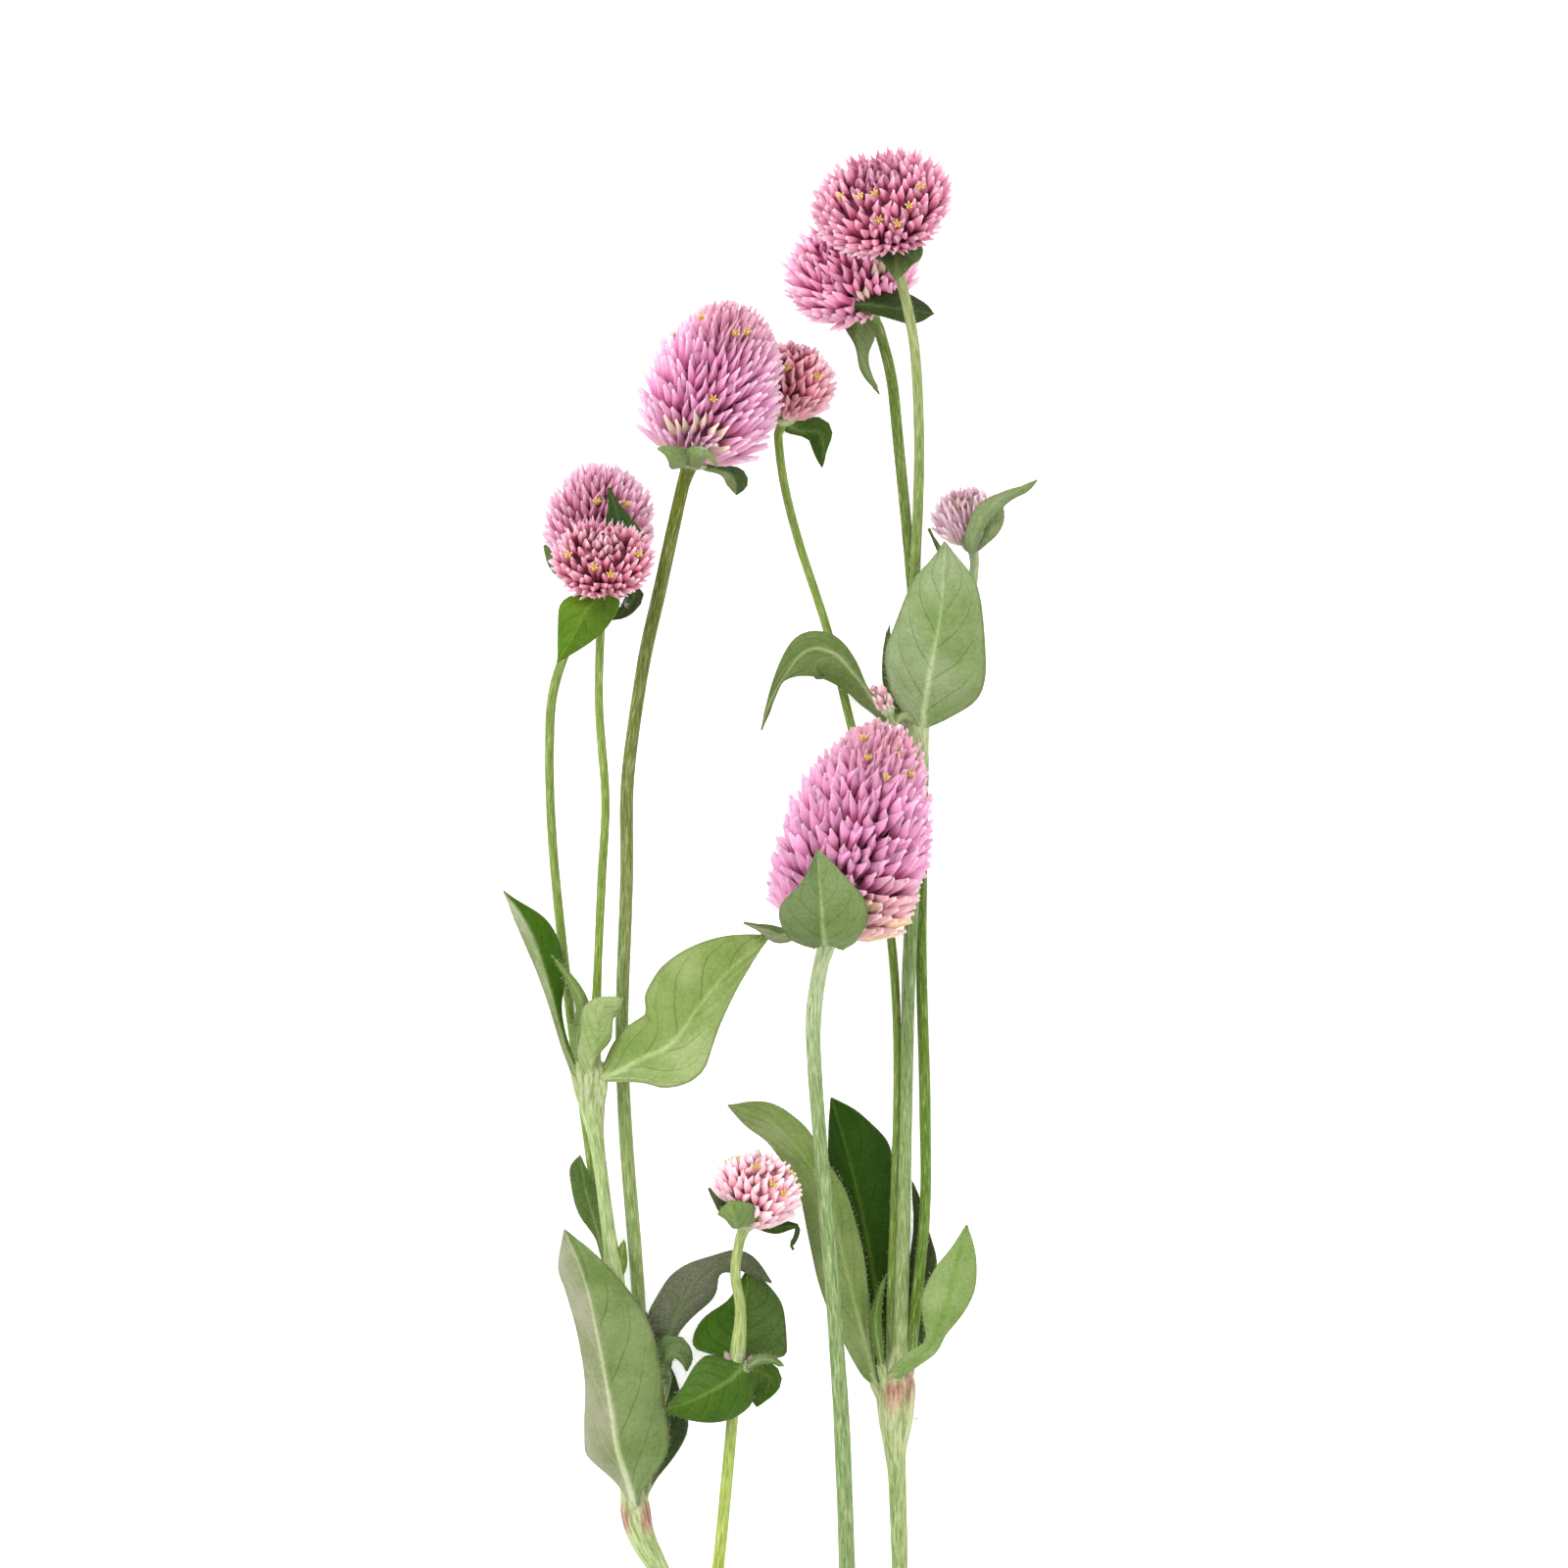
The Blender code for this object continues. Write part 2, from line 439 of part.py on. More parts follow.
def stem_rings(route):
    """A ring at each point of a route, and more along its longer spans."""
    points = [Vector(point) for point in route]
    dense, rings = catmull_rom(points, CURVE_STEPS), []
    for number, (start, end) in enumerate(zip(points, points[1:])):
        spans = max(1, round((end.xyz - start.xyz).length / STEM_RING_SPACING))
        first = number * CURVE_STEPS
        rings += [dense[first + round(CURVE_STEPS * step / spans)] for step in range(spans)]
    return [*rings, points[-1]]


def make_tube(name, route, extra, collection):
    """One round stem along its route, as a closed mesh. extra is added to its radius."""
    rings = stem_rings(route)
    for end, inner in ((0, 1), (-1, -2)):
        rings[end] = rings[end].copy()
        outward = (rings[end].xyz - rings[inner].xyz).normalized()
        rings[end].xyz += outward * STEM_END_REACH * extra
    curve = bpy.data.curves.new(name, "CURVE")
    curve.dimensions = "3D"
    curve.bevel_depth = MM
    curve.bevel_resolution = STEM_SIDES // 2 - 2
    curve.use_fill_caps = True
    spline = curve.splines.new("POLY")
    spline.points.add(len(rings) - 1)
    for point, ring in zip(spline.points, rings):
        point.co = (*(ring.xyz * MM), 1)
        point.radius = ring.w + extra
    guide = add_object(name + "_guide", curve, collection)
    bpy.context.view_layer.update()
    mesh = evaluated_mesh(guide)
    bpy.data.objects.remove(guide)
    return add_object(name, mesh, collection)


def with_collar_end(name, route):
    """A stem's route, led on to the underside of the head's collar if it carries a head."""
    if name not in HEADS:
        return route
    middle, axis = collar_of(name)
    end = middle - axis * (COLLAR_THICKNESS / 2 + CLEARANCE)
    thin, thick = route[-1][3], max(THINNEST_COLLAR_END, COLLAR_END_SHARE * HEADS[name][2])
    flare = [(end - axis * below * thick, thin + (thick - thin) * share) for below, share in COLLAR_FLARE]
    return [*route, *((*spot, radius) for spot, radius in flare)]


def make_surface(collection):
    """A block whose top is the surface that the spray lies on."""
    work = bmesh.new()
    bmesh.ops.create_cube(work, size=1)
    size = Vector(SURFACE_BLOCK) * MM
    bmesh.ops.scale(work, vec=size, verts=work.verts)
    bmesh.ops.translate(work, vec=(0, 0, -size.z / 2), verts=work.verts)
    mesh = bpy.data.meshes.new("surface")
    work.to_mesh(mesh)
    work.free()
    return add_object("surface", mesh, collection)


def make_stems(name, extra, collection):
    """Every stem, fused where it leaves another."""
    joined = make_collection(name + "_tubes")
    routes = iter(STEM_ROUTES.items())
    _, first_route = next(routes)
    stems = make_tube(name, first_route, extra, collection)
    for route_name, route in routes:
        make_tube(f"{name}_{route_name}", with_collar_end(route_name, route), extra, joined)
    fuse(stems, joined)
    return stems


def row_directions(spine):
    """At each point of a midrib, the way it runs and the level way to its right, without a sudden turn."""
    last, rows = len(spine) - 1, []
    right = None
    for row in range(last, -1, -1):
        ahead = (spine[min(row + 1, last)] - spine[max(row - 1, 0)]).normalized()
        level = Vector((ahead.y, -ahead.x, 0))
        if right is None or (level.length > STEEPEST and level.dot(right) > 0):
            right = level.normalized()
        rows.insert(0, (ahead, (right - ahead * right.dot(ahead)).normalized()))
    return rows


def make_blade(name, form, collection):
    """One leaf or bract: an open sheet along its midrib, thickened to a blade."""
    midrib, left, right, left_bend, right_bend, lobes = form
    rows = len(left) + 1
    columns = 4 if max(left + right) > WIDE_BLADE else 2
    widths = [[PETIOLE_HALF_WIDTH, *half, TIP_HALF_WIDTH] for half in (left, right)]
    drops = [math.tan(math.radians(bend)) for bend in (left_bend, right_bend)]
    spine = smooth_route(midrib, rows)
    directions = row_directions(spine)
    work = bmesh.new()
    bmesh.ops.create_grid(work, x_segments=columns, y_segments=rows, size=1)
    for vert in work.verts:
        half, across = int(vert.co.x > 0), abs(vert.co.x)
        row = round((vert.co.y + 1) / 2 * rows)
        ahead, right_hand = directions[row]
        front = right_hand.cross(ahead)
        out = widths[half][row] * across
        back = lobes * across ** 2 * max(0, 1 - row / rows * 2) if row else 0
        sideways = right_hand * (out if half else -out)
        vert.co = MM * (spine[row] + sideways - front * out * across * drops[half] - ahead * back)
    bmesh.ops.triangulate(work, faces=work.faces)
    bmesh.ops.recalc_face_normals(work, faces=work.faces)
    mesh = bpy.data.meshes.new(name)
    work.to_mesh(mesh)
    work.free()
    blade = add_object(name, mesh, collection)
    thickness = blade.modifiers.new("thickness", "SOLIDIFY")
    thickness.thickness = BLADE * MM
    thickness.offset = 0
    settle(blade)
    return blade


def head_axes(name):
    """A head's middle and the matrix that turns +Z to its axis."""
    middle, axis = Vector(HEADS[name][0]), Vector(HEADS[name][1]).normalized()
    upper = (Vector((0, 0, 1)) - axis * axis.z).normalized()
    return middle, Matrix((upper.cross(axis), upper, axis)).transposed()


def collar_of(name):
    """The middle of the collar under a head, and the head's axis."""
    middle, axis = Vector(HEADS[name][0]), Vector(HEADS[name][1]).normalized()
    below = HEADS[name][3] / 2 * BASE_SHARE + CLEARANCE + COLLAR_THICKNESS / 2
    return middle - axis * below, axis


def head_outline(name, polar, depth_share):
    """A point of a head's side view: its distance from the axis and its height, 0 deep or 1 at the tips."""
    _, _, width, height, _, narrowing, _ = HEADS[name]
    spread = math.sin(polar)
    if polar > math.pi / 2:
        spread += (1 - spread) * UNDERSIDE_SPREAD * min(1, (math.pi - polar) / UNDERSIDE_TURN)
    reach = width / 2 * spread * (1 - narrowing * math.cos(polar))
    top, bottom = height / 2 - (1 - CORE_SHARE) * width / 2, -height / 2 * BASE_SHARE
    inner = (reach * CORE_SHARE, (top + bottom) / 2 + math.cos(polar) * (top - bottom) / 2)
    outer = (reach, height / 2 * math.cos(polar))
    return [a + (b - a) * depth_share for a, b in zip(inner, outer)]


def head_point(name, polar, around, depth_share):
    reach, up = head_outline(name, polar, depth_share)
    return Vector((reach * math.cos(around), reach * math.sin(around), up))


def on_ball(polar, around):
    return Vector((math.sin(polar) * math.cos(around), math.sin(polar) * math.sin(around), math.cos(polar)))


def add_hull(points):
    """A mesh of the ball that the points lie on, with a vertex at each of them, in their order."""
    work = bmesh.new()
    for point in points:
        work.verts.new(point)
    bmesh.ops.convex_hull(work, input=work.verts, use_existing_faces=False)
    bmesh.ops.recalc_face_normals(work, faces=work.faces)
    work.verts.index_update()
    return work


def floret_spiral(name):
    """The angle down from the top and the angle around of each floret."""
    count = HEADS[name][4]
    for number in range(count):
        yield math.acos(1 - 2 * (number + 0.5) / count), number * GOLDEN_ANGLE


def is_clear(points, obstacles):
    """Whether points are above the surface and away from every other piece."""
    return all(
        point.z > 0 and obstacles.find_nearest(point * MM, ROOM * MM)[0] is None for point in points)


def make_head(name, obstacles, collection):
    """One flower head: a ball covered by a spiral of pointed florets, each raised from its own cell."""
    _, _, width, height, _, _, lean = HEADS[name]
    middle, turn = head_axes(name)
    draw = random.Random(SEED)
    spiral = list(floret_spiral(name))
    ball = add_hull([on_ball(*place) for place in spiral])
    between = [face.calc_center_median().normalized() for face in ball.faces]
    ball.free()
    between = [(math.acos(max(-1, min(1, v.z))), math.atan2(v.y, v.x)) for v in between]
    depth = (1 - CORE_SHARE) * width / 2
    rise = depth / math.tan(math.radians(lean)) / (height / 2)
    spots, roots = [], []
    for number, (polar, around) in enumerate(spiral + between):
        root = head_point(name, polar, around, 0)
        spot = root
        if number < len(spiral) and polar < LOWEST_FLORET:
            up = rise * math.sin(min(polar, math.pi / 2))
            up *= min(1, (LOWEST_FLORET - polar) / SHORTENING)
            tip_polar = polar - up * draw.uniform(*LEAN_SPREAD)
            tip_around = around + draw.uniform(-TURN_SPREAD, TURN_SPREAD) / math.sin(polar)
            spot = head_point(name, tip_polar, tip_around, draw.uniform(*LENGTH_SPREAD))
        elif number >= len(spiral):
            root = Vector((0, 0, root.z * GAP_DEPTH))
        spots.append(middle + turn @ spot)
        roots.append(middle + turn @ root)
    work = add_hull([on_ball(*place) for place in spiral + between])
    for number, vert in reversed(list(enumerate(work.verts))):
        share = 1.0
        beside = [spots[edge.other_vert(vert).index] for edge in vert.link_edges]
        while share > 0:
            spot = roots[number].lerp(spots[number], share)
            nearby = [spot]
            if number < len(spiral):
                nearby += [spot.lerp(point, step) for point in beside for step in PROBES]
            if is_clear(nearby, obstacles):
                break
            share -= DRAW_BACK
        spots[number] = spot
    for vert, spot in zip(work.verts, spots):
        vert.co = spot * MM
    mesh = bpy.data.meshes.new(name)
    work.to_mesh(mesh)
    work.free()
    return add_object("head_" + name, mesh, collection)


def make_collar(name, collection):
    """The green disc under a head, with its leafy bracts."""
    middle, axis = collar_of(name)
    radius = max(SMALLEST_COLLAR, COLLAR_SHARE * HEADS[name][2])
    work = bmesh.new()
    bmesh.ops.create_cone(
        work, cap_ends=True, segments=COLLAR_SIDES, radius1=radius * COLLAR_FOOT_SHARE, radius2=radius,
        depth=COLLAR_THICKNESS)
    turn = axis.to_track_quat("Z", "Y").to_matrix().to_4x4()
    place = Matrix.Translation(middle * MM) @ turn @ Matrix.Scale(MM, 4)
    bmesh.ops.transform(work, matrix=place, verts=work.verts)
    mesh = bpy.data.meshes.new(name)
    work.to_mesh(mesh)
    work.free()
    collar = add_object("bracts_" + name, mesh, collection)
    if name in BRACTS:
        joined = make_collection(name + "_bracts")
        for number, (midrib, *rest) in enumerate(BRACTS[name]):
            make_blade(f"{name}_bract_{number}", ([tuple(middle), *midrib], *rest), joined)
        fuse(collar, joined)
    return collar


def tree_of(objects):
    """One search tree over the faces of several objects."""
    verts, faces = [], []
    for obj in objects:
        start = len(verts)
        verts += [vert.co for vert in obj.data.vertices]
        faces += [[start + index for index in face.vertices] for face in obj.data.polygons]
    return BVHTree.FromPolygons(verts, faces)


def main():
    clear_scene()
    spray = make_collection("globe_amaranth")
    helpers = make_collection("cutters")
    materials = {name: make_material(name) for name in FINISHES}
    stems = make_stems("stems", 0, spray)
    cut(stems, make_surface(helpers))
    stems.data.materials.append(materials["stem_green"])
    room_for_stems = make_stems("room_for_stems", CLEARANCE, helpers)
    for helper in helpers.objects:
        helper.hide_render = True
        helper.display_type = "WIRE"
    pieces = [stems]
    for name, form in LEAVES.items():
        leaf = make_blade(name, form, spray)
        cut(leaf, room_for_stems)
        keep_largest_body(leaf)
        leaf.data.materials.append(materials["leaf_green"])
        pieces.append(leaf)
    for name in HEADS:
        collar = make_collar(name, spray)
        cut(collar, room_for_stems)
        keep_largest_body(collar)
        collar.data.materials.append(materials["leaf_green"])
        pieces.append(collar)
    for name in HEADS:
        head = make_head(name, tree_of(pieces), spray)
        head.data.materials.append(materials["floret_pink"])
        pieces.append(head)


main()
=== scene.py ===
import math
import random

import bmesh
import bpy
from mathutils import Matrix, Vector, noise
from mathutils.bvhtree import BVHTree


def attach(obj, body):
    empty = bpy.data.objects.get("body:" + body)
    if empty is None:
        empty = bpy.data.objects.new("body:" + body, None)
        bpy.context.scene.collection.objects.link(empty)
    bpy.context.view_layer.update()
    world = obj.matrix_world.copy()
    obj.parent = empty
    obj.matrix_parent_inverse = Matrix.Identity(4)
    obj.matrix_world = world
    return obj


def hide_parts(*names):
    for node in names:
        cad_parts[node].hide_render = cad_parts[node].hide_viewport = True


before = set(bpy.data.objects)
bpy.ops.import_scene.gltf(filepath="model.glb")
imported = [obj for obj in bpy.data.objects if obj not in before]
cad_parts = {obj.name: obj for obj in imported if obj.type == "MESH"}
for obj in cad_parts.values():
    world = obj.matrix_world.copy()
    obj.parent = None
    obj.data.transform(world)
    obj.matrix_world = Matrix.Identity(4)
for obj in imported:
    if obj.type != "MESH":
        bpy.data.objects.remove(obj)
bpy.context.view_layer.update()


# Stems. One cut, branching stem with swollen nodes: green, faintly ribbed, streaked lengthwise and paler
# at the nodes. Each is a grid wrapped round its route, and all are one piece that grew together.
MM = 0.001
STEM_SIDES = 18
STEM_RING_SPACING = 1.6
LIGHT_SHARE = 0.6
CURVE_STEPS = 24

# The route of each stem from its foot up, as (x, y, height, radius) in millimetres.
STEM_ROUTES = {
    "main_and_right_branch": [
        (18, -175.5, 1.8, 2.1), (18, -160.2, 2, 1.95), (18, -149.4, 2.7, 2.4),
        (18.5, -144, 3, 2.6), (21.2, -128.7, 3.6, 1.7), (23.4, -105.3, 4.5, 1.5),
        (23.7, -83.7, 5.2, 1.5), (23.3, -68, 5.8, 1.7), (22.9, -62.6, 6, 2.3), (22.9, -57, 6.3, 3.4),
        (23, -50.4, 6.5, 3.9), (23.6, -45, 6.3, 1.9), (24, -36, 6.1, 1.4), (24.8, -4.5, 5.8, 1.15),
        (25.4, 24.3, 5.4, 1.2), (26.6, 47.7, 5.4, 1.3), (27.4, 62.1, 5.9, 1.53),
        (27, 69.3, 6.7, 2.25), (27, 72, 6.8, 2.07),
    ],
    "front_cone": [
        (18, -146.7, 3.6, 1.7), (16.4, -119.7, 9, 1.6), (14.5, -92.7, 13.5, 1.53),
        (13, -56.7, 17.1, 1.45), (11.6, -36, 19, 1.35), (9.6, -11.7, 19.8, 1.28),
        (8.2, 6.3, 19.6, 1.28), (7.9, 17, 19.2, 1.4),
    ],
    "left_branch": [
        (18, -146.7, 3.1, 1.89), (8.1, -131.4, 3.4, 1.8), (-4.5, -112, 3.8, 1.8),
        (-11.7, -101.7, 4.1, 2.25), (-16.2, -92.7, 4.5, 1.71), (-20.3, -84.6, 4.9, 1.8),
        (-23.6, -78.3, 5.4, 2.61), (-24.8, -72.9, 5.8, 2.97), (-25.4, -66.6, 5.8, 1.98),
        (-27, -49.5, 5.9, 1.45), (-28.4, -32, 7.2, 1.7), (-29.6, -23, 7.8, 1.25),
        (-31, -11.7, 8.6, 1.2), (-32, -4.5, 9.2, 1.5), (-32.6, 1, 9.6, 2.5), (-32.6, 6.4, 9.9, 3.1),
    ],
    "left_tall": [
        (-24.5, -72, 4.9, 1.35), (-23.8, -54, 3.8, 1.2), (-23.9, -40.5, 3.6, 1.2),
        (-24.8, -26.1, 3.8, 1.2), (-26.5, -4.5, 4.5, 1.2), (-27.2, 15.3, 5.8, 1.2),
        (-26.3, 42.3, 8.6, 1.2), (-26.1, 60.3, 10.8, 1.2), (-23.4, 80.1, 13.5, 1.2),
        (-20, 96, 15, 1.2),
    ],
    "left_rear": [
        (-28.1, -31.5, 6.3, 0.85), (-31, -24.3, 4, 0.85), (-32.9, -9.9, 2.5, 0.85),
        (-34.4, 0.9, 2.6, 0.85), (-36.4, 15.3, 3.1, 0.85), (-38.3, 31.5, 3.4, 0.85),
        (-40, 49.5, 3.6, 0.85), (-40.5, 65.7, 4, 0.85), (-39.4, 78.3, 4.5, 0.9),
    ],
    "left_front": [
        (-32.2, 5.4, 10.4, 1.35), (-31.7, 22.5, 12.1, 0.8), (-30.8, 42.3, 14, 0.8),
        (-30.1, 56.7, 16, 0.8), (-31.2, 73, 19.4, 0.8), (-31.1, 84, 22.4, 0.8),
    ],
    "low_small": [
        (-11.7, -101.7, 4.3, 1.35), (-9.5, -83.7, 6.3, 1.12), (-8.1, -69.3, 8.6, 1.08),
        (-6.8, -54.9, 11.2, 1.05), (-6.2, -47, 12.6, 1.5), (-5.4, -36.9, 14, 0.99),
        (-6.4, -30, 15, 0.95),
    ],
    "shoot_behind_leaf": [
        (-23.9, -72.9, 5.4, 1.17), (-21.1, -58.5, 6.3, 0.99), (-19.3, -49.5, 7.2, 1.26),
    ],
    "top_rear": [
        (24.1, -55.8, 5.4, 1.44), (28.1, -22.5, 5, 1.0), (28.4, 0, 4.1, 1.0),
        (27.7, 27.9, 3.1, 1.0), (27.9, 51.3, 2.3, 1.0), (27.9, 69.3, 2.2, 1.0),
        (26.1, 94.5, 2.5, 1.0), (23.4, 123.3, 4.1, 1.0), (22.2, 134, 5, 1.0),
    ],
    "top_front": [
        (27, 69.3, 6.8, 1.44), (26.8, 82.8, 6.1, 0.93), (26.5, 96.3, 8.1, 0.93),
        (27, 109.8, 12.6, 0.93), (27.2, 123.3, 17.6, 0.93), (26.2, 140, 23, 0.93),
    ],
    "upper_small": [
        (22.3, -55.8, 5.9, 1.35), (22.4, -31.5, 5.2, 0.95), (23.3, 0, 4.7, 0.78),
        (22.8, 24.3, 3.8, 0.78), (20.2, 45, 2.9, 0.78), (16.7, 63, 2.5, 0.78), (14.4, 72, 2.5, 0.78),
        (10.6, 87.3, 2.5, 0.78), (5.4, 103.5, 2.7, 0.78), (2.6, 114.3, 2.9, 0.78),
    ],
    "right_small": [
        (27.4, 70.2, 5.9, 1.26), (33.3, 81, 5.4, 0.9), (36.6, 93, 5.2, 0.85),
    ],
    "bud": [
        (26.6, 71.1, 7.7, 0.9), (24.2, 72.2, 10, 0.7),
    ],
}
# The green of each stem in the light, at its foot and at its top.
STEM_GREENS = {
    "main_and_right_branch": ((184, 198, 132), (124, 152, 88)),
    "front_cone": ((144, 167, 108), (202, 214, 170)),
    "left_branch": ((184, 202, 135), (184, 203, 137)),
    "left_tall": ((168, 188, 118), (110, 118, 18)),
    "left_rear": ((132, 160, 60), (140, 162, 76)),
    "left_front": ((128, 154, 36), (152, 172, 82)),
    "low_small": ((190, 208, 88), (182, 196, 126)),
    "shoot_behind_leaf": ((140, 160, 96), (140, 160, 96)),
    "top_rear": ((106, 140, 24), (112, 136, 46)),
    "top_front": ((120, 150, 50), (182, 192, 128)),
    "upper_small": ((124, 152, 50), (146, 170, 66)),
    "right_small": ((168, 186, 130), (186, 198, 152)),
    "bud": ((170, 184, 120), (170, 184, 120)),
}
NODE_GREEN = (196, 204, 150)
SHADE_GREEN = (120, 146, 84)
BLUSH = (188, 122, 112)
# Where the sheaths at the nodes are tinged pink, and how far round.
BLUSHES = [((26.2, -51, 9), 2.6), ((22.6, -52.6, 10.2), 2.2), ((-27, -75, 6), 2), ((-22.4, -74.6, 7), 1.8)]

# Where each head's middle is, the way its axis points, its full width and height over the floret tips, and
# how much it narrows upwards.
HEADS = {
    "left_tall": ((-10.1, 132.7, 20.4), (0.29, 0.93, 0.2), 25.2, 31.2, 0.14),
    "front_cone": ((16, 50.9, 22.9), (0.26, 0.94, 0.17), 27, 42.3, 0.2),
    "top_front": ((20.2, 165.6, 32.5), (-0.2, 0.77, 0.6), 26, 15, 0),
    "top_rear": ((14.6, 154.2, 12.6), (-0.36, 0.78, 0.5), 25.4, 19, 0.03),
    "upper_small": ((3.9, 133.4, 7.8), (0.22, 0.94, 0.25), 16.6, 14.4, 0.05),
    "left_rear": ((-31.1, 108.4, 10.2), (0.14, 0.94, 0.32), 20.4, 20.4, 0.08),
    "left_front": ((-30.4, 100.8, 29), (0.02, 0.77, 0.64), 19, 10.6, 0),
    "low_small": ((-2.4, -14.4, 18.4), (0.3, 0.9, 0.3), 16.6, 13.8, 0),
    "right_small": ((36.2, 108.7, 6.6), (-0.15, 0.97, 0.16), 13.2, 10.8, -0.1),
    "bud": ((20.2, 75.6, 12), (-0.42, 0.88, 0.2), 2.8, 5.4, 0.1),
}
# How far down from its middle a head's collar lies, as a share of half its height, how thick it is, and how
# thick its stalk is there, as a share of the head's width.
BASE_SHARE = 0.94
COLLAR_THICKNESS = 1.0
COLLAR_END_SHARE = 0.075


def linear(rgb):
    """A colour read as red, green, blue out of 255, as a material in this light needs it."""
    parts = [c / 255 for c in rgb]
    return [LIGHT_SHARE * (c / 12.92 if c < 0.04 else ((c + 0.055) / 1.055) ** 2.4) for c in parts]


def blend(first, second, share):
    """From the first colour to the second, by a share kept between 0 and 1."""
    share = max(0.0, min(1.0, share))
    return [a + (b - a) * share for a, b in zip(first, second)]


def smoothly(low, high, value):
    """0 below low, 1 above high and a smooth step between."""
    t = max(0.0, min(1.0, (value - low) / (high - low)))
    return t * t * (3 - 2 * t)


def blushing(spot, around):
    """How pink the skin is at a spot of a node, in uneven patches."""
    near = 0
    for place, reach in BLUSHES:
        away = spot - Vector(place)
        near = max(near, smoothly(reach, 0.5 * reach, math.hypot(away.x, 0.5 * away.y, 0.4 * away.z)))
    patches = noise.noise(Vector((2 * math.cos(around), 2 * math.sin(around), spot.y * 0.1)))
    return near * smoothly(-0.5, -0.1, patches)


def even_points(points, spacing):
    """Points at even steps along the smooth curve through the points, a whole number of steps."""
    points = [Vector(point) for point in points]
    ends = [2 * points[0] - points[1], *points, 2 * points[-1] - points[-2]]
    dense = []
    for before, start, end, after in zip(ends, ends[1:], ends[2:], ends[3:]):
        for step in range(CURVE_STEPS):
            t = step / CURVE_STEPS
            dense.append(0.5 * (
                2 * start + (end - before) * t
                + (2 * before - 5 * start + 4 * end - after) * t ** 2
                + (3 * start - before - 3 * end + after) * t ** 3))
    dense.append(points[-1])
    travelled = [0.0]
    for a, b in zip(dense, dense[1:]):
        travelled.append(travelled[-1] + (b.xyz - a.xyz).length)
    count = max(4, round(travelled[-1] / spacing))
    evenly, at = [], 0
    for step in range(count + 1):
        target = travelled[-1] * step / count
        while at < len(dense) - 2 and travelled[at + 1] < target:
            at += 1
        share = (target - travelled[at]) / (travelled[at + 1] - travelled[at])
        evenly.append(dense[at].lerp(dense[at + 1], min(1, share)))
    return evenly


def collar_of(name):
    """The middle of the collar under a head, and the head's axis."""
    middle, axis = Vector(HEADS[name][0]), Vector(HEADS[name][1]).normalized()
    return middle - axis * (HEADS[name][3] / 2 * BASE_SHARE + COLLAR_THICKNESS / 2), axis


def to_collar(name, route):
    """A stem's route, led on to the collar of the head it carries and flaring to it."""
    if name not in HEADS:
        return route
    middle, axis = collar_of(name)
    thin, thick = route[-1][3], max(0.9, COLLAR_END_SHARE * HEADS[name][2])
    flare = [(3 * thick, thin), (1.5 * thick, thin * 1.1), (0.6 * thick, (thin + thick) / 2), (0, thick)]
    return [*route, *((*(middle - axis * below), radius) for below, radius in flare)]


def rounded_off(rings):
    """The same route closed with a rounded top, for a stem that ends among its leaves."""
    top, ahead = rings[-1], (rings[-1].xyz - rings[-2].xyz).normalized()
    steps = ((0.35, 0.94), (0.65, 0.76), (0.85, 0.5), (0.95, 0.2))
    return [*rings, *(Vector((*(top.xyz + ahead * far * top.w), top.w * wide)) for far, wide in steps)]


def turning_frames(points):
    """Two directions across a route at each of its points, turning no more than the route does."""
    last, frames, across = len(points) - 1, [], None
    for row in range(last + 1):
        ahead = (points[min(row + 1, last)].xyz - points[max(row - 1, 0)].xyz).normalized()
        if across is None:
            across = ahead.orthogonal()
        across = (across - ahead * across.dot(ahead)).normalized()
        frames.append((across, ahead.cross(across)))
    return frames


def new_work():
    """An empty mesh under construction, with the values that the materials read."""
    work = bmesh.new()
    work.verts.layers.float_vector.new("wrap")
    work.verts.layers.float_color.new("colour")
    work.verts.layers.float.new("vein_width")
    work.verts.layers.float.new("midrib_glow")
    return work


def value_layers(work):
    """Where each vertex keeps its place in the pattern and its colour."""
    return work.verts.layers.float_vector["wrap"], work.verts.layers.float_color["colour"]


def add_tube(work, rings, sides, surface, tint):
    """Wrap a grid round a route and close it. surface gives the radius's share, tint the colour."""
    rows = len(rings) - 1
    frames = turning_frames(rings)
    wrap, colour = value_layers(work)
    verts = bmesh.ops.create_grid(work, x_segments=sides, y_segments=rows, size=1)["verts"]
    for vert in verts:
        around = (vert.co.x + 1) * math.pi
        row = round((vert.co.y + 1) / 2 * rows)
        first, second = frames[row]
        out = first * math.cos(around) + second * math.sin(around)
        spot = rings[row].xyz + out * (rings[row].w * surface(around, row))
        spot.z = max(spot.z, 0.02)
        vert.co = spot * MM
        vert[wrap] = (math.cos(around), math.sin(around), row / 10)
        vert[colour] = (*tint(around, row, spot), 1)
    bmesh.ops.remove_doubles(work, verts=verts, dist=0.001 * MM)
    close_openings(work)


def close_openings(work):
    open_edges = [edge for edge in work.edges if edge.is_boundary]
    bmesh.ops.holes_fill(work, edges=open_edges, sides=0)


def as_mesh(work, name):
    """The mesh under construction as a finished one."""
    mesh = bpy.data.meshes.new(name)
    work.to_mesh(mesh)
    work.free()
    return mesh


def add_object(name, mesh, material):
    """Put a mesh in the scene, with its one material."""
    mesh.materials.append(material)
    made = bpy.data.objects.new(name, mesh)
    bpy.context.scene.collection.objects.link(made)
    return made


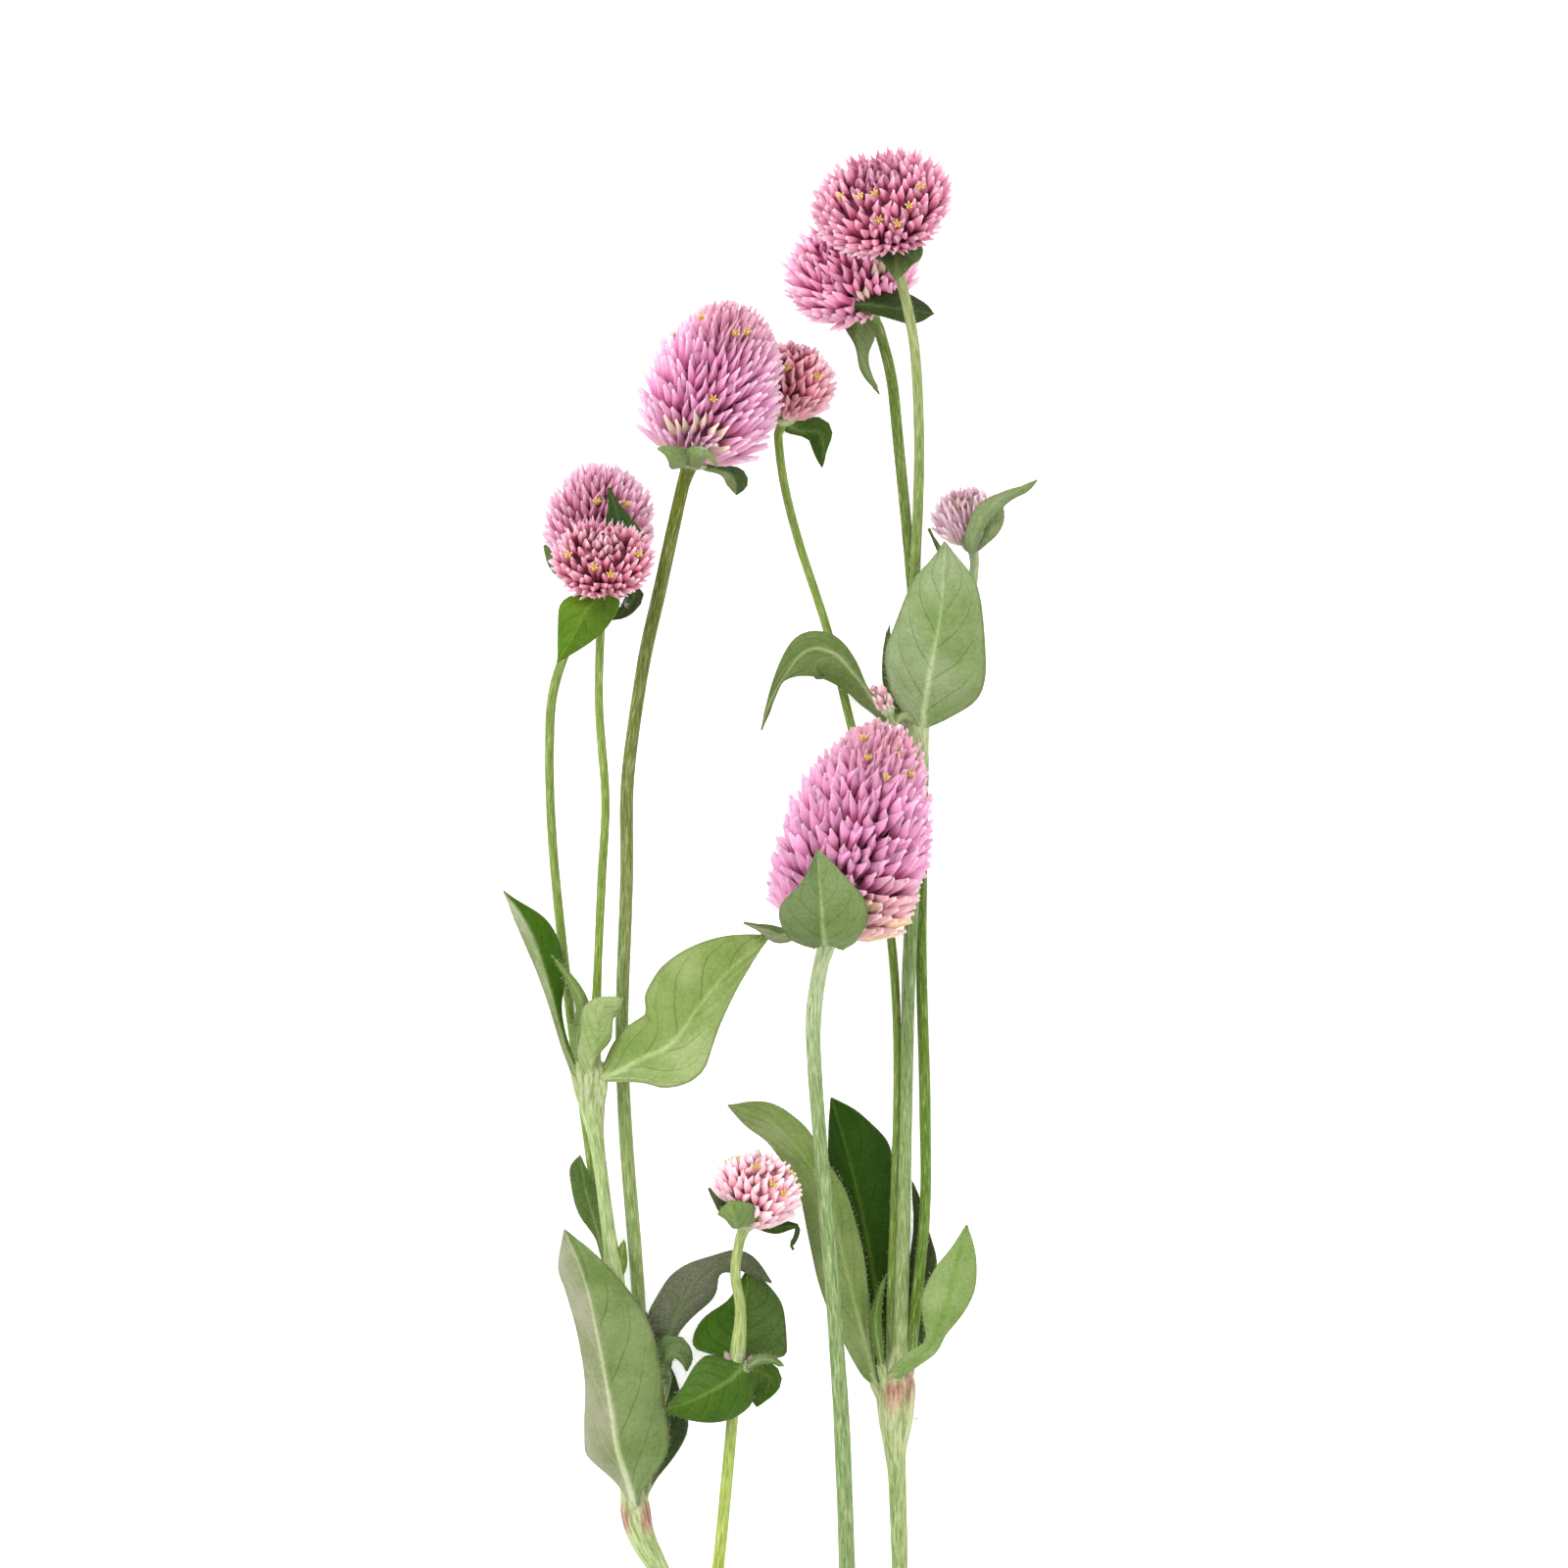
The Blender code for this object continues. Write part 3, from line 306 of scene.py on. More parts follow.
def finish_piece(work, name, material, sharp=0, outward=True):
    """Turn the mesh under construction into a smooth shaded piece of the spray."""
    if outward:
        bmesh.ops.recalc_face_normals(work, faces=work.faces)
    mesh = as_mesh(work, name)
    mesh.shade_smooth()
    if sharp:
        mesh.set_sharp_from_angle(angle=math.radians(sharp))
    piece = add_object(name, mesh, material)
    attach(piece, "root")
    return piece


class Finish:
    """A material under construction, with short ways to add its nodes, mix colours and raise bumps."""

    def __init__(self, name, **sockets):
        self.material = bpy.data.materials.new(name)
        self.material.use_nodes = True
        self.tree = self.material.node_tree
        for socket, value in sockets.items():
            self.set(socket.replace("_", " "), value)

    def give(self, socket, value):
        """Link another node's output to a socket, or set a constant on it."""
        if isinstance(value, bpy.types.NodeSocket):
            self.tree.links.new(value, socket)
        elif value is not None:
            socket.default_value = value

    def set(self, socket, value):
        """Give a value to the surface shader."""
        self.give(self.tree.nodes["Principled BSDF"].inputs[socket], value)

    def add(self, kind, *values, **settings):
        """Add a node with its settings, give values to its first sockets, and return its outputs."""
        node = self.tree.nodes.new("ShaderNode" + kind)
        for key, value in settings.items():
            if key in node.inputs:
                self.give(node.inputs[key], value)
            else:
                setattr(node, key, value)
        for socket, value in zip(node.inputs, values):
            self.give(socket, value)
        return node.outputs

    def read(self, kind, name):
        """A value that the mesh keeps for each vertex."""
        return self.add("Attribute", attribute_type="GEOMETRY", attribute_name=name)[kind]

    def object_place(self):
        return self.add("TexCoord")["Object"]

    def clouds(self, place, scale, detail, roughness=0.5):
        return self.add("TexNoise", place, Scale=scale, Detail=detail, Roughness=roughness)[0]

    def calculate(self, operation, *values):
        return self.add("Math", *values, operation=operation)[0]

    def in_range(self, value, low, high, to_low=0.0, to_high=1.0):
        """Map a value from one range to another, smoothly and kept within it."""
        return self.add("MapRange", value, low, high, to_low, to_high, interpolation_type="SMOOTHSTEP")[0]

    def mix(self, blending, share, first, second):
        """Mix two colours by a share."""
        node = self.tree.nodes.new("ShaderNodeMix")
        node.data_type = "RGBA"
        node.blend_type = blending
        for number, value in ((0, share), (6, first), (7, second)):
            self.give(node.inputs[number], value)
        return node.outputs[2]

    def bump(self, height, strength, distance, under=None):
        return self.add("Bump", Strength=strength, Distance=distance, Height=height, Normal=under)[0]


def make_stem_material():
    """Green bark with lengthwise ridges and streaks, and small pale flecks of down."""
    bark = Finish("stem_bark", Specular_IOR_Level=0.2, Subsurface_Weight=0.08,
                  Subsurface_Radius=(0.4, 0.6, 0.2), Subsurface_Scale=0.001)
    wrap = bark.read("Vector", "wrap")
    grain = bark.clouds(bark.add("Mapping", wrap, Scale=(3.2, 3.2, 3.2))[0], 1.5, 5, 0.65)
    flecks = bark.clouds(wrap, 9, 3)
    colour = bark.read("Color", "colour")
    for blending, share, tint in (
            ("MULTIPLY", bark.in_range(grain, 0.48, 0.62, 0, 0.9), (0.5, 0.62, 0.36, 1)),
            ("SCREEN", bark.in_range(grain, 0.47, 0.36, 0, 0.7), (0.2, 0.22, 0.12, 1)),
            ("MIX", bark.in_range(flecks, 0.56, 0.74, 0, 0.35), (0.48, 0.52, 0.36, 1))):
        colour = bark.mix(blending, share, colour, tint)
    bark.set("Base Color", colour)
    bark.set("Normal", bark.bump(grain, 0.6, 0.0003))
    bark.set("Roughness", bark.in_range(flecks, 0.3, 0.7, 0.5, 0.7))
    return bark.material


stem_material = make_stem_material()
stem_work = new_work()
stem_rings = []
for route_name, route in STEM_ROUTES.items():
    rings = even_points(to_collar(route_name, route), STEM_RING_SPACING)
    if route_name not in HEADS:
        rings = rounded_off(rings)
    between_nodes = sorted(ring.w for ring in rings)[len(rings) // 3]
    low_green, top_green = (linear(green) for green in STEM_GREENS[route_name])
    # The stalk of the front head keeps its lower green until close under the head.
    change_from = 0.8 if route_name == "front_cone" else 0.1
    # Stems of different lengths of name take different stretches of the noise.
    shift = len(route_name) * 1.7

    def swollen(row):
        return smoothly(1.15, 1.7, rings[row].w / between_nodes)

    def ribbed(around, row):
        bumps = noise.noise(Vector((math.cos(around) + shift, math.sin(around), row * 0.12)))
        return 1 + 0.035 * math.cos(8 * around) + 0.07 * bumps - 0.1 * swollen(row)

    def green_along(around, row, spot):
        patch = noise.noise(Vector((math.cos(around), math.sin(around) + shift, row * 0.06)))
        green = blend(low_green, top_green, smoothly(change_from, 1, row / len(rings)))
        plain = blend(blend(green, linear(NODE_GREEN), swollen(row) * 0.8), linear(SHADE_GREEN), 0.5 * patch)
        return blend(plain, linear(BLUSH), 0.9 * blushing(spot, around))

    add_tube(stem_work, rings, STEM_SIDES, ribbed, green_along)
    stem_rings += rings
stems = finish_piece(stem_work, "stems_detail", stem_material, sharp=60)
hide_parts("stems")


# Leaves. Opposite, untoothed, hairy leaves, soft and slightly quilted between their side veins: a thin
# sheet bent along its midrib, measured where the photo shows it from above, thickened to a blade.
LEAF_THICKNESS = 0.35
LEAF_STEP = 0.8
WAVE_SHARE = 0.05
QUILT_DEPTH = 0.16
LEAST_VEIN_SPACING = 2.6
VEINS = 5.5
FOOT_HALF_WIDTH = 0.6

# The midrib as (x, y, height), the left and right edges as seen from above (or the half-width of a plain
# pointed oval, or half-widths at even steps), and how many degrees the halves bend down.
LEAVES = {
    "leaf_lower_left_front": (
        [(-24.8, -73.3, 7.6), (-25.7, -69.3, 10.6), (-27.9, -62.3, 13.6), (-29.3, -53.3, 15.4),
         (-31.7, -40.5, 15.6), (-33.8, -31.5, 14.6), (-37.6, -22, 12.6)],
        [(-27.4, -69.8), (-32, -67.1), (-32.9, -66.4), (-33.7, -59.8), (-33.8, -49.7), (-35.5, -39.6),
         (-38, -31.5), (-39.4, -27.9), (-37.6, -22)],
        [(-24.3, -70.4), (-19.3, -64.8), (-18.4, -61.7), (-19.3, -53.6), (-20.3, -45.5), (-22.3, -38.5),
         (-26.3, -32.4), (-32.4, -25.9), (-37.6, -22)],
        58, 12),
    "leaf_lower_left_rear": (
        [(-24.1, -71.5, 3.6), (-19.8, -64.6, 2.3), (-18.4, -55.6, 2.2), (-20.5, -43.9, 2.3),
         (-23.6, -35.8, 2.4)],
        3.2,
        [(-23.6, -70.9), (-19.1, -65.7), (-17.3, -63.4), (-15.3, -59.8), (-15.1, -56.7), (-16.7, -51.7),
         (-17.6, -48.6), (-19.8, -44.8), (-23.6, -35.8)],
        4, 4),
    "leaf_dark_curled": (
        [(-19.4, -49.1, 7.6), (-18.7, -43.4, 8.6), (-17.3, -38, 9.8), (-13.3, -30.8, 11),
         (-8.6, -26.8, 11), (-4.3, -27.7, 10.2), (0.2, -31.7, 9)],
        [(-21.2, -48.4), (-22.3, -43.4), (-22.5, -38), (-21.2, -35.1), (-18.2, -30.4), (-14.2, -27.9),
         (-9.7, -26.6), (-7.6, -25.9), (-5, -25.7), (-2.2, -27.9), (0.2, -31.7)],
        [(-18.4, -49.1), (-17.3, -42.1), (-14.2, -38), (-11.2, -35.5), (-9.7, -32.9), (-9.5, -29.9),
         (-7.6, -29.9), (-5, -29.3), (-4.1, -30.4), (0.2, -31.7)],
        14, 20),
    "leaf_small_folded": (
        [(-19.8, -49.3, 8.4), (-19.6, -46.4, 10.6), (-17.8, -44.4, 11.4), (-16.2, -45.4, 11.4),
         (-15.2, -47.8, 10.8)],
        [(-21.2, -44), (-20.4, -40.6), (-17.1, -40.9), (-14.4, -44.5), (-14, -46.8), (-15.2, -47.8)],
        [1, 1.2, 1.3, 1, 0.5],
        14, 14),
    "leaf_behind_left_stem": (
        [(-29.7, -30.1, 6.2), (-32, -21.4, 5), (-33.8, -15.1, 5), (-34.9, -8.5, 5.2)],
        [(-30.2, -28.6), (-31.9, -23.9), (-34.9, -19.8), (-36.2, -15.8), (-36.9, -9.7), (-34.9, -8.5)],
        2.5,
        5, 5),
    "leaf_between_left_stems": (
        [(-27.7, -31.5, 7.8), (-27.4, -27.7, 7.9), (-26.8, -23.9, 8.1)],
        1.4,
        1.3,
        5, 5),
    "leaf_middle_front": (
        [(-5, -47, 14.2), (-7.4, -49.3, 15.8), (-10.1, -50.9, 16.6), (-14, -52.9, 16.8),
         (-19.4, -54.9, 16.2)],
        [(-2.5, -49.3), (-2.2, -52.2), (-3.6, -54.2), (-6.1, -56), (-10.1, -57.1), (-14.8, -56.7),
         (-18.2, -55.4), (-19.4, -54.9)],
        [(-5, -46.8), (-7.2, -45.2), (-8.6, -43.9), (-11.2, -44.6), (-13.7, -46.6), (-16.2, -50.8),
         (-19.4, -54.9)],
        22, 16),
    "leaf_middle_rear": (
        [(-5.8, -45.9, 11), (-5.4, -41.2, 8.2), (-4.7, -35.8, 7), (-3.8, -29, 6.6)],
        [(-12.6, -44.6), (-14.4, -42.1), (-12.2, -38), (-7.6, -35.1), (-5, -30.4), (-3.8, -29)],
        [(3.1, -45.7), (3.1, -43), (2.7, -38.5), (2, -35.1), (-0.5, -32), (-3.6, -29)],
        6, 6),
    "leaf_middle_lower": (
        [(-5, -47.2, 11), (-1.8, -48.1, 8.2), (0, -49.9, 7.2), (-2.5, -54.5, 7)],
        2.3,
        [(-2.9, -48.4), (-4.7, -52.9), (-2.5, -54.5)],
        8, 8),
    "leaf_middle_thin": (
        [(-4.3, -47.3, 13.9), (-2.9, -46.1, 15), (-0.4, -45.5, 15.2), (2.5, -46.8, 14.8)],
        1.1,
        0.9,
        12, 12),
    "leaf_upper_left_broad": (
        [(-30.8, 5.9, 11.3), (-27.7, 7, 13.4), (-23.8, 9.2, 15.6), (-18, 12.1, 17.4), (-13.3, 18.5, 17.2),
         (-7.6, 25.4, 14.8), (0, 32, 11)],
        [(-31.3, 7.4), (-30.6, 9.2), (-28.8, 12.4), (-26.3, 15.3), (-22.7, 17.8), (-23, 20.7),
         (-21.2, 24.1), (-19.1, 27), (-14.2, 30.2), (-7.7, 32), (0, 32)],
        [(-29.9, 5.2), (-24.8, 4.9), (-19.1, 4), (-14.9, 5), (-12.1, 7), (-11, 10.6), (-8.5, 17.1),
         (-5.9, 22.3), (-3.4, 26.6), (0, 32)],
        14, 10),
    "leaf_upper_left_narrow": (
        [(-35.3, 6.3, 9.6), (-37.8, 12.4, 9.8), (-40.3, 21.8, 10.4), (-42.8, 29.9, 11),
         (-45.7, 35.8, 11.2), (-48.8, 40, 10.6)],
        [(-36.2, 5.9), (-38.3, 11.7), (-40.1, 17.8), (-42.3, 24.1), (-44.5, 29.5), (-47, 35.3),
         (-48.8, 40)],
        [(-35.3, 7.7), (-37.1, 12.8), (-38.3, 18.5), (-37.6, 23.4), (-38, 28.1), (-39.4, 32.4),
         (-41.9, 35.6), (-46.3, 38.2), (-48.8, 40)],
        -24, 18),
    "leaf_upper_left_curled": (
        [(-33.1, 6.3, 12.6), (-32.4, 10.3, 14.6), (-31.9, 14.2, 16), (-31.3, 17.8, 16.8),
         (-29.5, 20, 16.8), (-26.8, 20.3, 16.2)],
        [(-33.8, 7.4), (-35.5, 9.5), (-34.7, 13.1), (-34.4, 18.5), (-31.9, 20.5), (-26.8, 20.3)],
        [(-32.8, 6.7), (-31.5, 10.3), (-29.2, 12.1), (-28.8, 16.4), (-27.7, 17.8), (-26.8, 20.3)],
        16, 16),
    "leaf_upper_left_thin": (
        [(-34.4, 7.4, 11.6), (-35.3, 12.8, 13.4), (-34.2, 18.2, 14), (-36, 23, 14.6), (-39.6, 27.9, 14.2)],
        1.4,
        1.3,
        12, 12),
    "leaf_right_long": (
        [(19.4, -50.2, 7.6), (16.6, -39.8, 8), (13.7, -28.6, 8.2), (10.8, -16.9, 8.2), (5.2, -7.4, 8),
         (-0.7, -2, 7.8), (-7.7, 0.7, 7.6)],
        [(17.6, -50.2), (13.9, -43.6), (9.5, -33.8), (7.2, -24.1), (4.9, -13.9), (1.6, -8.8),
         (-0.7, -5.8), (-4.5, -3.1), (-7.7, 0.7)],
        [(19.3, -48.6), (18.9, -41.2), (18, -33.5), (16.9, -25.6), (14.9, -18.2), (13.3, -13.9),
         (11, -10.4), (7.2, -4.1), (4.9, -1.8), (0.9, 0.9), (-3.1, 1.4), (-7.7, 0.7)],
        14, 8),
    "leaf_right_dark": (
        [(21.6, -48.8, 4), (19.8, -35.8, 1.9), (17.3, -21.4, 1.5), (14.4, -8.8, 1.5), (11.2, 2, 1.8)],
        6.8,
        [(22, -47.5), (22.7, -35.8), (22.7, -25.2), (22.7, -12.4), (21.8, -6.5), (19.6, -3.8),
         (15.7, -0.2), (11.2, 2)],
        3, 3),
    "leaf_right_dark_small": (
        [(24.5, -48.4, 4), (26.6, -35.8, 3), (27.7, -23.2, 2.8), (26.1, -13.5, 2.7)],
        2.2,
        [(26.3, -48.4), (29.5, -38.5), (30.6, -28.4), (29.3, -23.2), (27.4, -16.2), (26.1, -13.5)],
        3, 3),
    "leaf_right_light": (
        [(21.6, -49.5, 8.8), (25.6, -46.6, 10.8), (29.2, -42.7, 12), (31.9, -36.7, 12.4),
         (33.8, -28.6, 11.8), (36, -21.1, 10.6)],
        [(21.2, -48.4), (25.6, -44.1), (28.6, -42.3), (27.9, -38.5), (27.7, -34.6), (29, -31.1),
         (30.6, -28.4), (32.9, -25.6), (36, -21.1)],
        [(22, -50.2), (25.9, -47.7), (30.6, -44.3), (31.7, -41.6), (34.9, -37.8), (37.3, -33.5),
         (37.8, -28.8), (37.3, -24.8), (36, -21.1)],
        12, 12),
    "leaf_right_sliver": (
        [(20.5, -47.7, 8.8), (19.3, -39.4, 9.6), (20, -34, 9.4), (21.2, -30.4, 9.2)],
        1.1,
        1.1,
        10, 10),
    "leaf_top_broad": (
        [(27.9, 70, 8.8), (28.4, 74.9, 10.8), (29.5, 81.2, 12.6), (31.3, 92, 13.4), (31.9, 103.9, 12.4)],
        [(26.6, 70.4), (22.5, 74.9), (21.1, 80.3), (21.1, 84.1), (22.7, 88.4), (24.7, 93.6), (26.5, 97.6),
         (29.5, 100.6), (31.9, 103.9)],
        [(29.5, 70), (32, 71.1), (36.5, 73.4), (38.7, 76.3), (39.4, 80.3), (39.2, 85.9), (38.5, 93.2),
         (37.1, 97.6), (34.2, 101), (31.9, 103.9)],
        8, 8),
    "leaf_top_arched": (
        [(25, 71.3, 7.2), (20.2, 73.6, 8), (16.2, 78.7, 9.6), (11.9, 83.3, 11.6), (7, 84.1, 12.4),
         (2.5, 79.4, 11.6), (0, 74.3, 10.2), (-1.6, 69.5, 9)],
        [(20.5, 69.5), (19.3, 72.5), (17.3, 73.4), (13.7, 76.7), (10.1, 78.5), (5.6, 79.4), (2, 78.1),
         (0, 73.6), (-1.6, 69.5)],
        [(21.4, 74.7), (18.9, 76), (17.3, 78.1), (15.8, 81.9), (12.6, 86.2), (8.8, 87.5), (5.2, 86.9),
         (2.3, 83), (0, 76.7), (-1.6, 69.5)],
        14, 18),
    "leaf_top_sliver": (
        [(25.6, 71.1, 4.2), (22.1, 76.9, 5.2), (21.4, 83.3, 6.2), (21.8, 88.7, 6.6)],
        1.1,
        0.9,
        8, 8),
    "leaf_top_rear": (
        [(27.7, 72.2, 4.6), (30.5, 80, 5), (32, 92, 6), (31.6, 100.5, 7), (29, 106.4, 7.6)],
        [1.6, 2, 2, 2.2, 1.6, 0.3],
        [1.6, 2.4, 2.8, 2.8, 2.4, 0.4],
        8, 8),
}
# How bright a leaf's midrib is, where it isn't MIDRIB_BRIGHTNESS.
MIDRIB_BRIGHTNESS = 0.4
MIDRIBS = {
    "leaf_lower_left_front": 0.9, "leaf_dark_curled": 0.1, "leaf_small_folded": 0.15,
    "leaf_middle_front": 0.2, "leaf_middle_rear": 0.25, "leaf_middle_lower": 0.1,
    "leaf_upper_left_curled": 0.15, "leaf_right_long": 0.25, "leaf_right_dark": 0.1,
    "leaf_right_light": 0.05, "leaf_top_broad": 0.55, "leaf_top_arched": 0.6,
}
MARGIN_COLOUR = (132, 122, 84)
# Colours of each leaf's left half, right half and veins as the photo shows them, the share of grey hairs
# on the left and right halves, how strong the side veins are, and on which halves (0 the left, 1 the
# right) they are pale ridges instead of creases darkened with painted shade.
LEAF_COLOURS = {
    "leaf_lower_left_front": ((162, 161, 131), (136, 156, 98), (208, 214, 178), 0.6, 0.1, 0.8, 0),
    "leaf_lower_left_rear": ((64, 92, 34), (60, 88, 30), (110, 134, 66), 0.2, 0.3, 0.4),
    # This leaf's dark grey is its grey underside together with painted shade, for the shade that underside
    # lay in.
    "leaf_dark_curled": ((86, 91, 64), (94, 99, 70), (140, 150, 108), 0.5, 0.5, 0.4, 0, 1),
    "leaf_small_folded": ((104, 130, 70), (120, 142, 84), (170, 182, 130), 0.3, 0.3, 0.4),
    "leaf_behind_left_stem": ((92, 120, 50), (100, 126, 60), (140, 160, 90), 0.2, 0.2, 0.4),
    "leaf_between_left_stems": ((120, 150, 60), (120, 150, 60), (160, 180, 110), 0.1, 0.1, 0.3),
    "leaf_middle_front": ((73, 112, 6), (69, 108, 4), (120, 150, 60), 0.1, 0.2, 0.5),
    "leaf_middle_rear": ((66, 106, 1), (80, 113, 22), (120, 148, 60), 0.05, 0.3, 0.5),
    "leaf_middle_lower": ((84, 118, 24), (88, 120, 34), (120, 148, 60), 0.1, 0.2, 0.4),
    "leaf_middle_thin": ((108, 132, 70), (108, 132, 70), (160, 176, 120), 0.3, 0.3, 0.3),
    "leaf_upper_left_broad": ((159, 178, 109), (175, 194, 127), (196, 212, 156), 0.1, 0.2, 0.8),
    "leaf_upper_left_narrow": ((190, 196, 160), (66, 106, 0), (120, 150, 50), 0.6, 0.02, 0.5),
    "leaf_upper_left_curled": ((177, 193, 133), (173, 190, 126), (196, 208, 156), 0.3, 0.2, 0.4),
    "leaf_upper_left_thin": ((120, 146, 70), (116, 142, 66), (160, 180, 110), 0.3, 0.2, 0.4),
    "leaf_right_long": ((145, 162, 98), (139, 159, 88), (176, 190, 132), 0.45, 0.3, 0.7),
    "leaf_right_dark": ((50, 84, 0), (54, 90, 0), (130, 160, 20), 0.02, 0.02, 0.5),
    "leaf_right_dark_small": ((78, 94, 42), (72, 90, 36), (130, 144, 90), 0.3, 0.2, 0.5),
    "leaf_right_light": ((152, 177, 104), (149, 174, 98), (112, 148, 60), 0.4, 0.4, 0.5, 0, 1),
    "leaf_right_sliver": ((92, 124, 40), (92, 124, 40), (140, 160, 90), 0.1, 0.1, 0.3),
    "leaf_top_broad": ((165, 182, 136), (159, 176, 128), (196, 210, 168), 0.15, 0.1, 0.8),
    "leaf_top_arched": ((123, 141, 78), (115, 135, 71), (176, 188, 142), 0.25, 0.15, 0.7),
    "leaf_top_sliver": ((80, 104, 40), (80, 104, 40), (130, 150, 84), 0.1, 0.1, 0.3),
    "leaf_top_rear": ((96, 122, 66), (96, 122, 66), (140, 160, 100), 0.2, 0.2, 0.4),
}


def crossing(start, direction, outline):
    """How far from start, along direction, the outline is crossed first."""
    best = None
    for a, b in zip(outline, outline[1:]):
        step = Vector(b) - Vector(a)
        turned = direction.x * step.y - direction.y * step.x
        if abs(turned) > 1e-6:
            to_a = Vector(a) - start
            far = (to_a.x * step.y - to_a.y * step.x) / turned
            share = (to_a.x * direction.y - to_a.y * direction.x) / turned
            if -0.01 <= share <= 1.01 and far > -0.2 and (best is None or abs(far) < abs(best)):
                best = far
    return best


def half_widths(spine, side, sign):
    """A blade's half-width on one side at each point of its midrib."""
    last = len(spine) - 1
    if isinstance(side, (int, float)):
        widths = [side * math.sin(math.pi * (row / last) ** 0.8) ** 0.85 for row in range(last + 1)]
    elif isinstance(side[0], (int, float)):
        steps = even_points(
            [(k, 0, 0, width) for k, width in enumerate([FOOT_HALF_WIDTH, *side, 0.2])], 0.1)
        widths = [steps[round(row / last * (len(steps) - 1))].w for row in range(last + 1)]
    else:
        edge = [p.xy for p in even_points([(*point, 0) for point in side], 0.5)]
        widths = [None] * (last + 1)
        for row in range(1, last):
            ahead = (spine[row + 1] - spine[row - 1]).xy.normalized()
            far = crossing(spine[row].xy, Vector((ahead.y, -ahead.x)) * sign, edge)
            widths[row] = None if far is None else max(0.0, far)
        widths[0], widths[last] = FOOT_HALF_WIDTH, 0.0
        known = [row for row, width in enumerate(widths) if width is not None]
        for before, after in zip(known, known[1:]):
            for row in range(before + 1, after):
                share = (row - before) / (after - before)
                widths[row] = widths[before] + (widths[after] - widths[before]) * share
    for _ in range(3):
        widths = [widths[0], *((a + 2 * b + c) / 4 for a, b, c in zip(widths, widths[1:], widths[2:])),
                  widths[-1]]
    return [max(width, 0.45 * smoothly(1, 0.9, row / last)) for row, width in enumerate(widths)]


def blade_frames(spine):
    """At each point of a midrib, the way it runs and the level way to its right, without sudden turns."""
    last, rows, right = len(spine) - 1, [], None
    for row in range(last, -1, -1):
        ahead = (spine[min(row + 1, last)] - spine[max(row - 1, 0)]).normalized()
        level = Vector((ahead.y, -ahead.x, 0))
        if right is None or (level.length > 0.4 and level.dot(right) > 0):
            right = level.normalized()
        rows.insert(0, (ahead, (right - ahead * right.dot(ahead)).normalized()))
    return rows


def vein_place(across, share, veins):
    """Where a point is between one side vein and the next, the veins bending along the margin."""
    return veins * (share - 0.26 * across - 0.2 * across ** 4)


def blade_rise(out, across, share, widest, strength, phase, between):
    """How high a point stands on a blade: its waved margin, its midrib, the quilting between its veins."""
    wave = WAVE_SHARE * widest * across ** 2 * math.sin(share * 13 + phase) * smoothly(0, 0.2, share)
    quilt = math.cos(math.tau * between) * smoothly(0, 0.25, across) * smoothly(1, 0.7, across)
    rib = math.exp(-(out / (0.35 + 0.5 * (1 - share))) ** 2)
    rib *= (0.45 if widest > 4 else 0.25) * (1 - 0.7 * share)
    return wave + strength * (rib - QUILT_DEPTH * min(1, widest / 6) * quilt)


def blade_colour(colours, half, out, across, share):
    """A point's colour, and as a fourth value how pale the side veins are there, or how far painted shade
    darkens their creases.
    """
    left_colour, right_colour, vein_colour, _, _, strength, *raised = colours
    shades = linear(left_colour), linear(right_colour)
    shade = blend(shades[1 - half], shades[half], 0.5 + 0.5 * smoothly(0, 0.12, across))
    pale = math.exp(-(out / (0.3 + 0.6 * (1 - share) ** 2)) ** 2) * (0.5 - 0.4 * share)
    shade = blend(shade, linear(vein_colour), pale * min(1, 2 * strength))
    faded = smoothly(0.0, 0.14, across) * smoothly(1.0, 0.6, across)
    # Below 0.5 the side veins get painted shade, as if lying in creases; above it they are paler ridges.
    vein_pale_or_shaded = 0.5 + 0.5 * strength * (1 if half in raised else -0.55) * faded
    return *blend(shade, linear(MARGIN_COLOUR), 0.45 * smoothly(0.93, 1, across)), vein_pale_or_shaded


# Where hairs stand along the edges of leaves and bracts, and the way they point.
margins = []


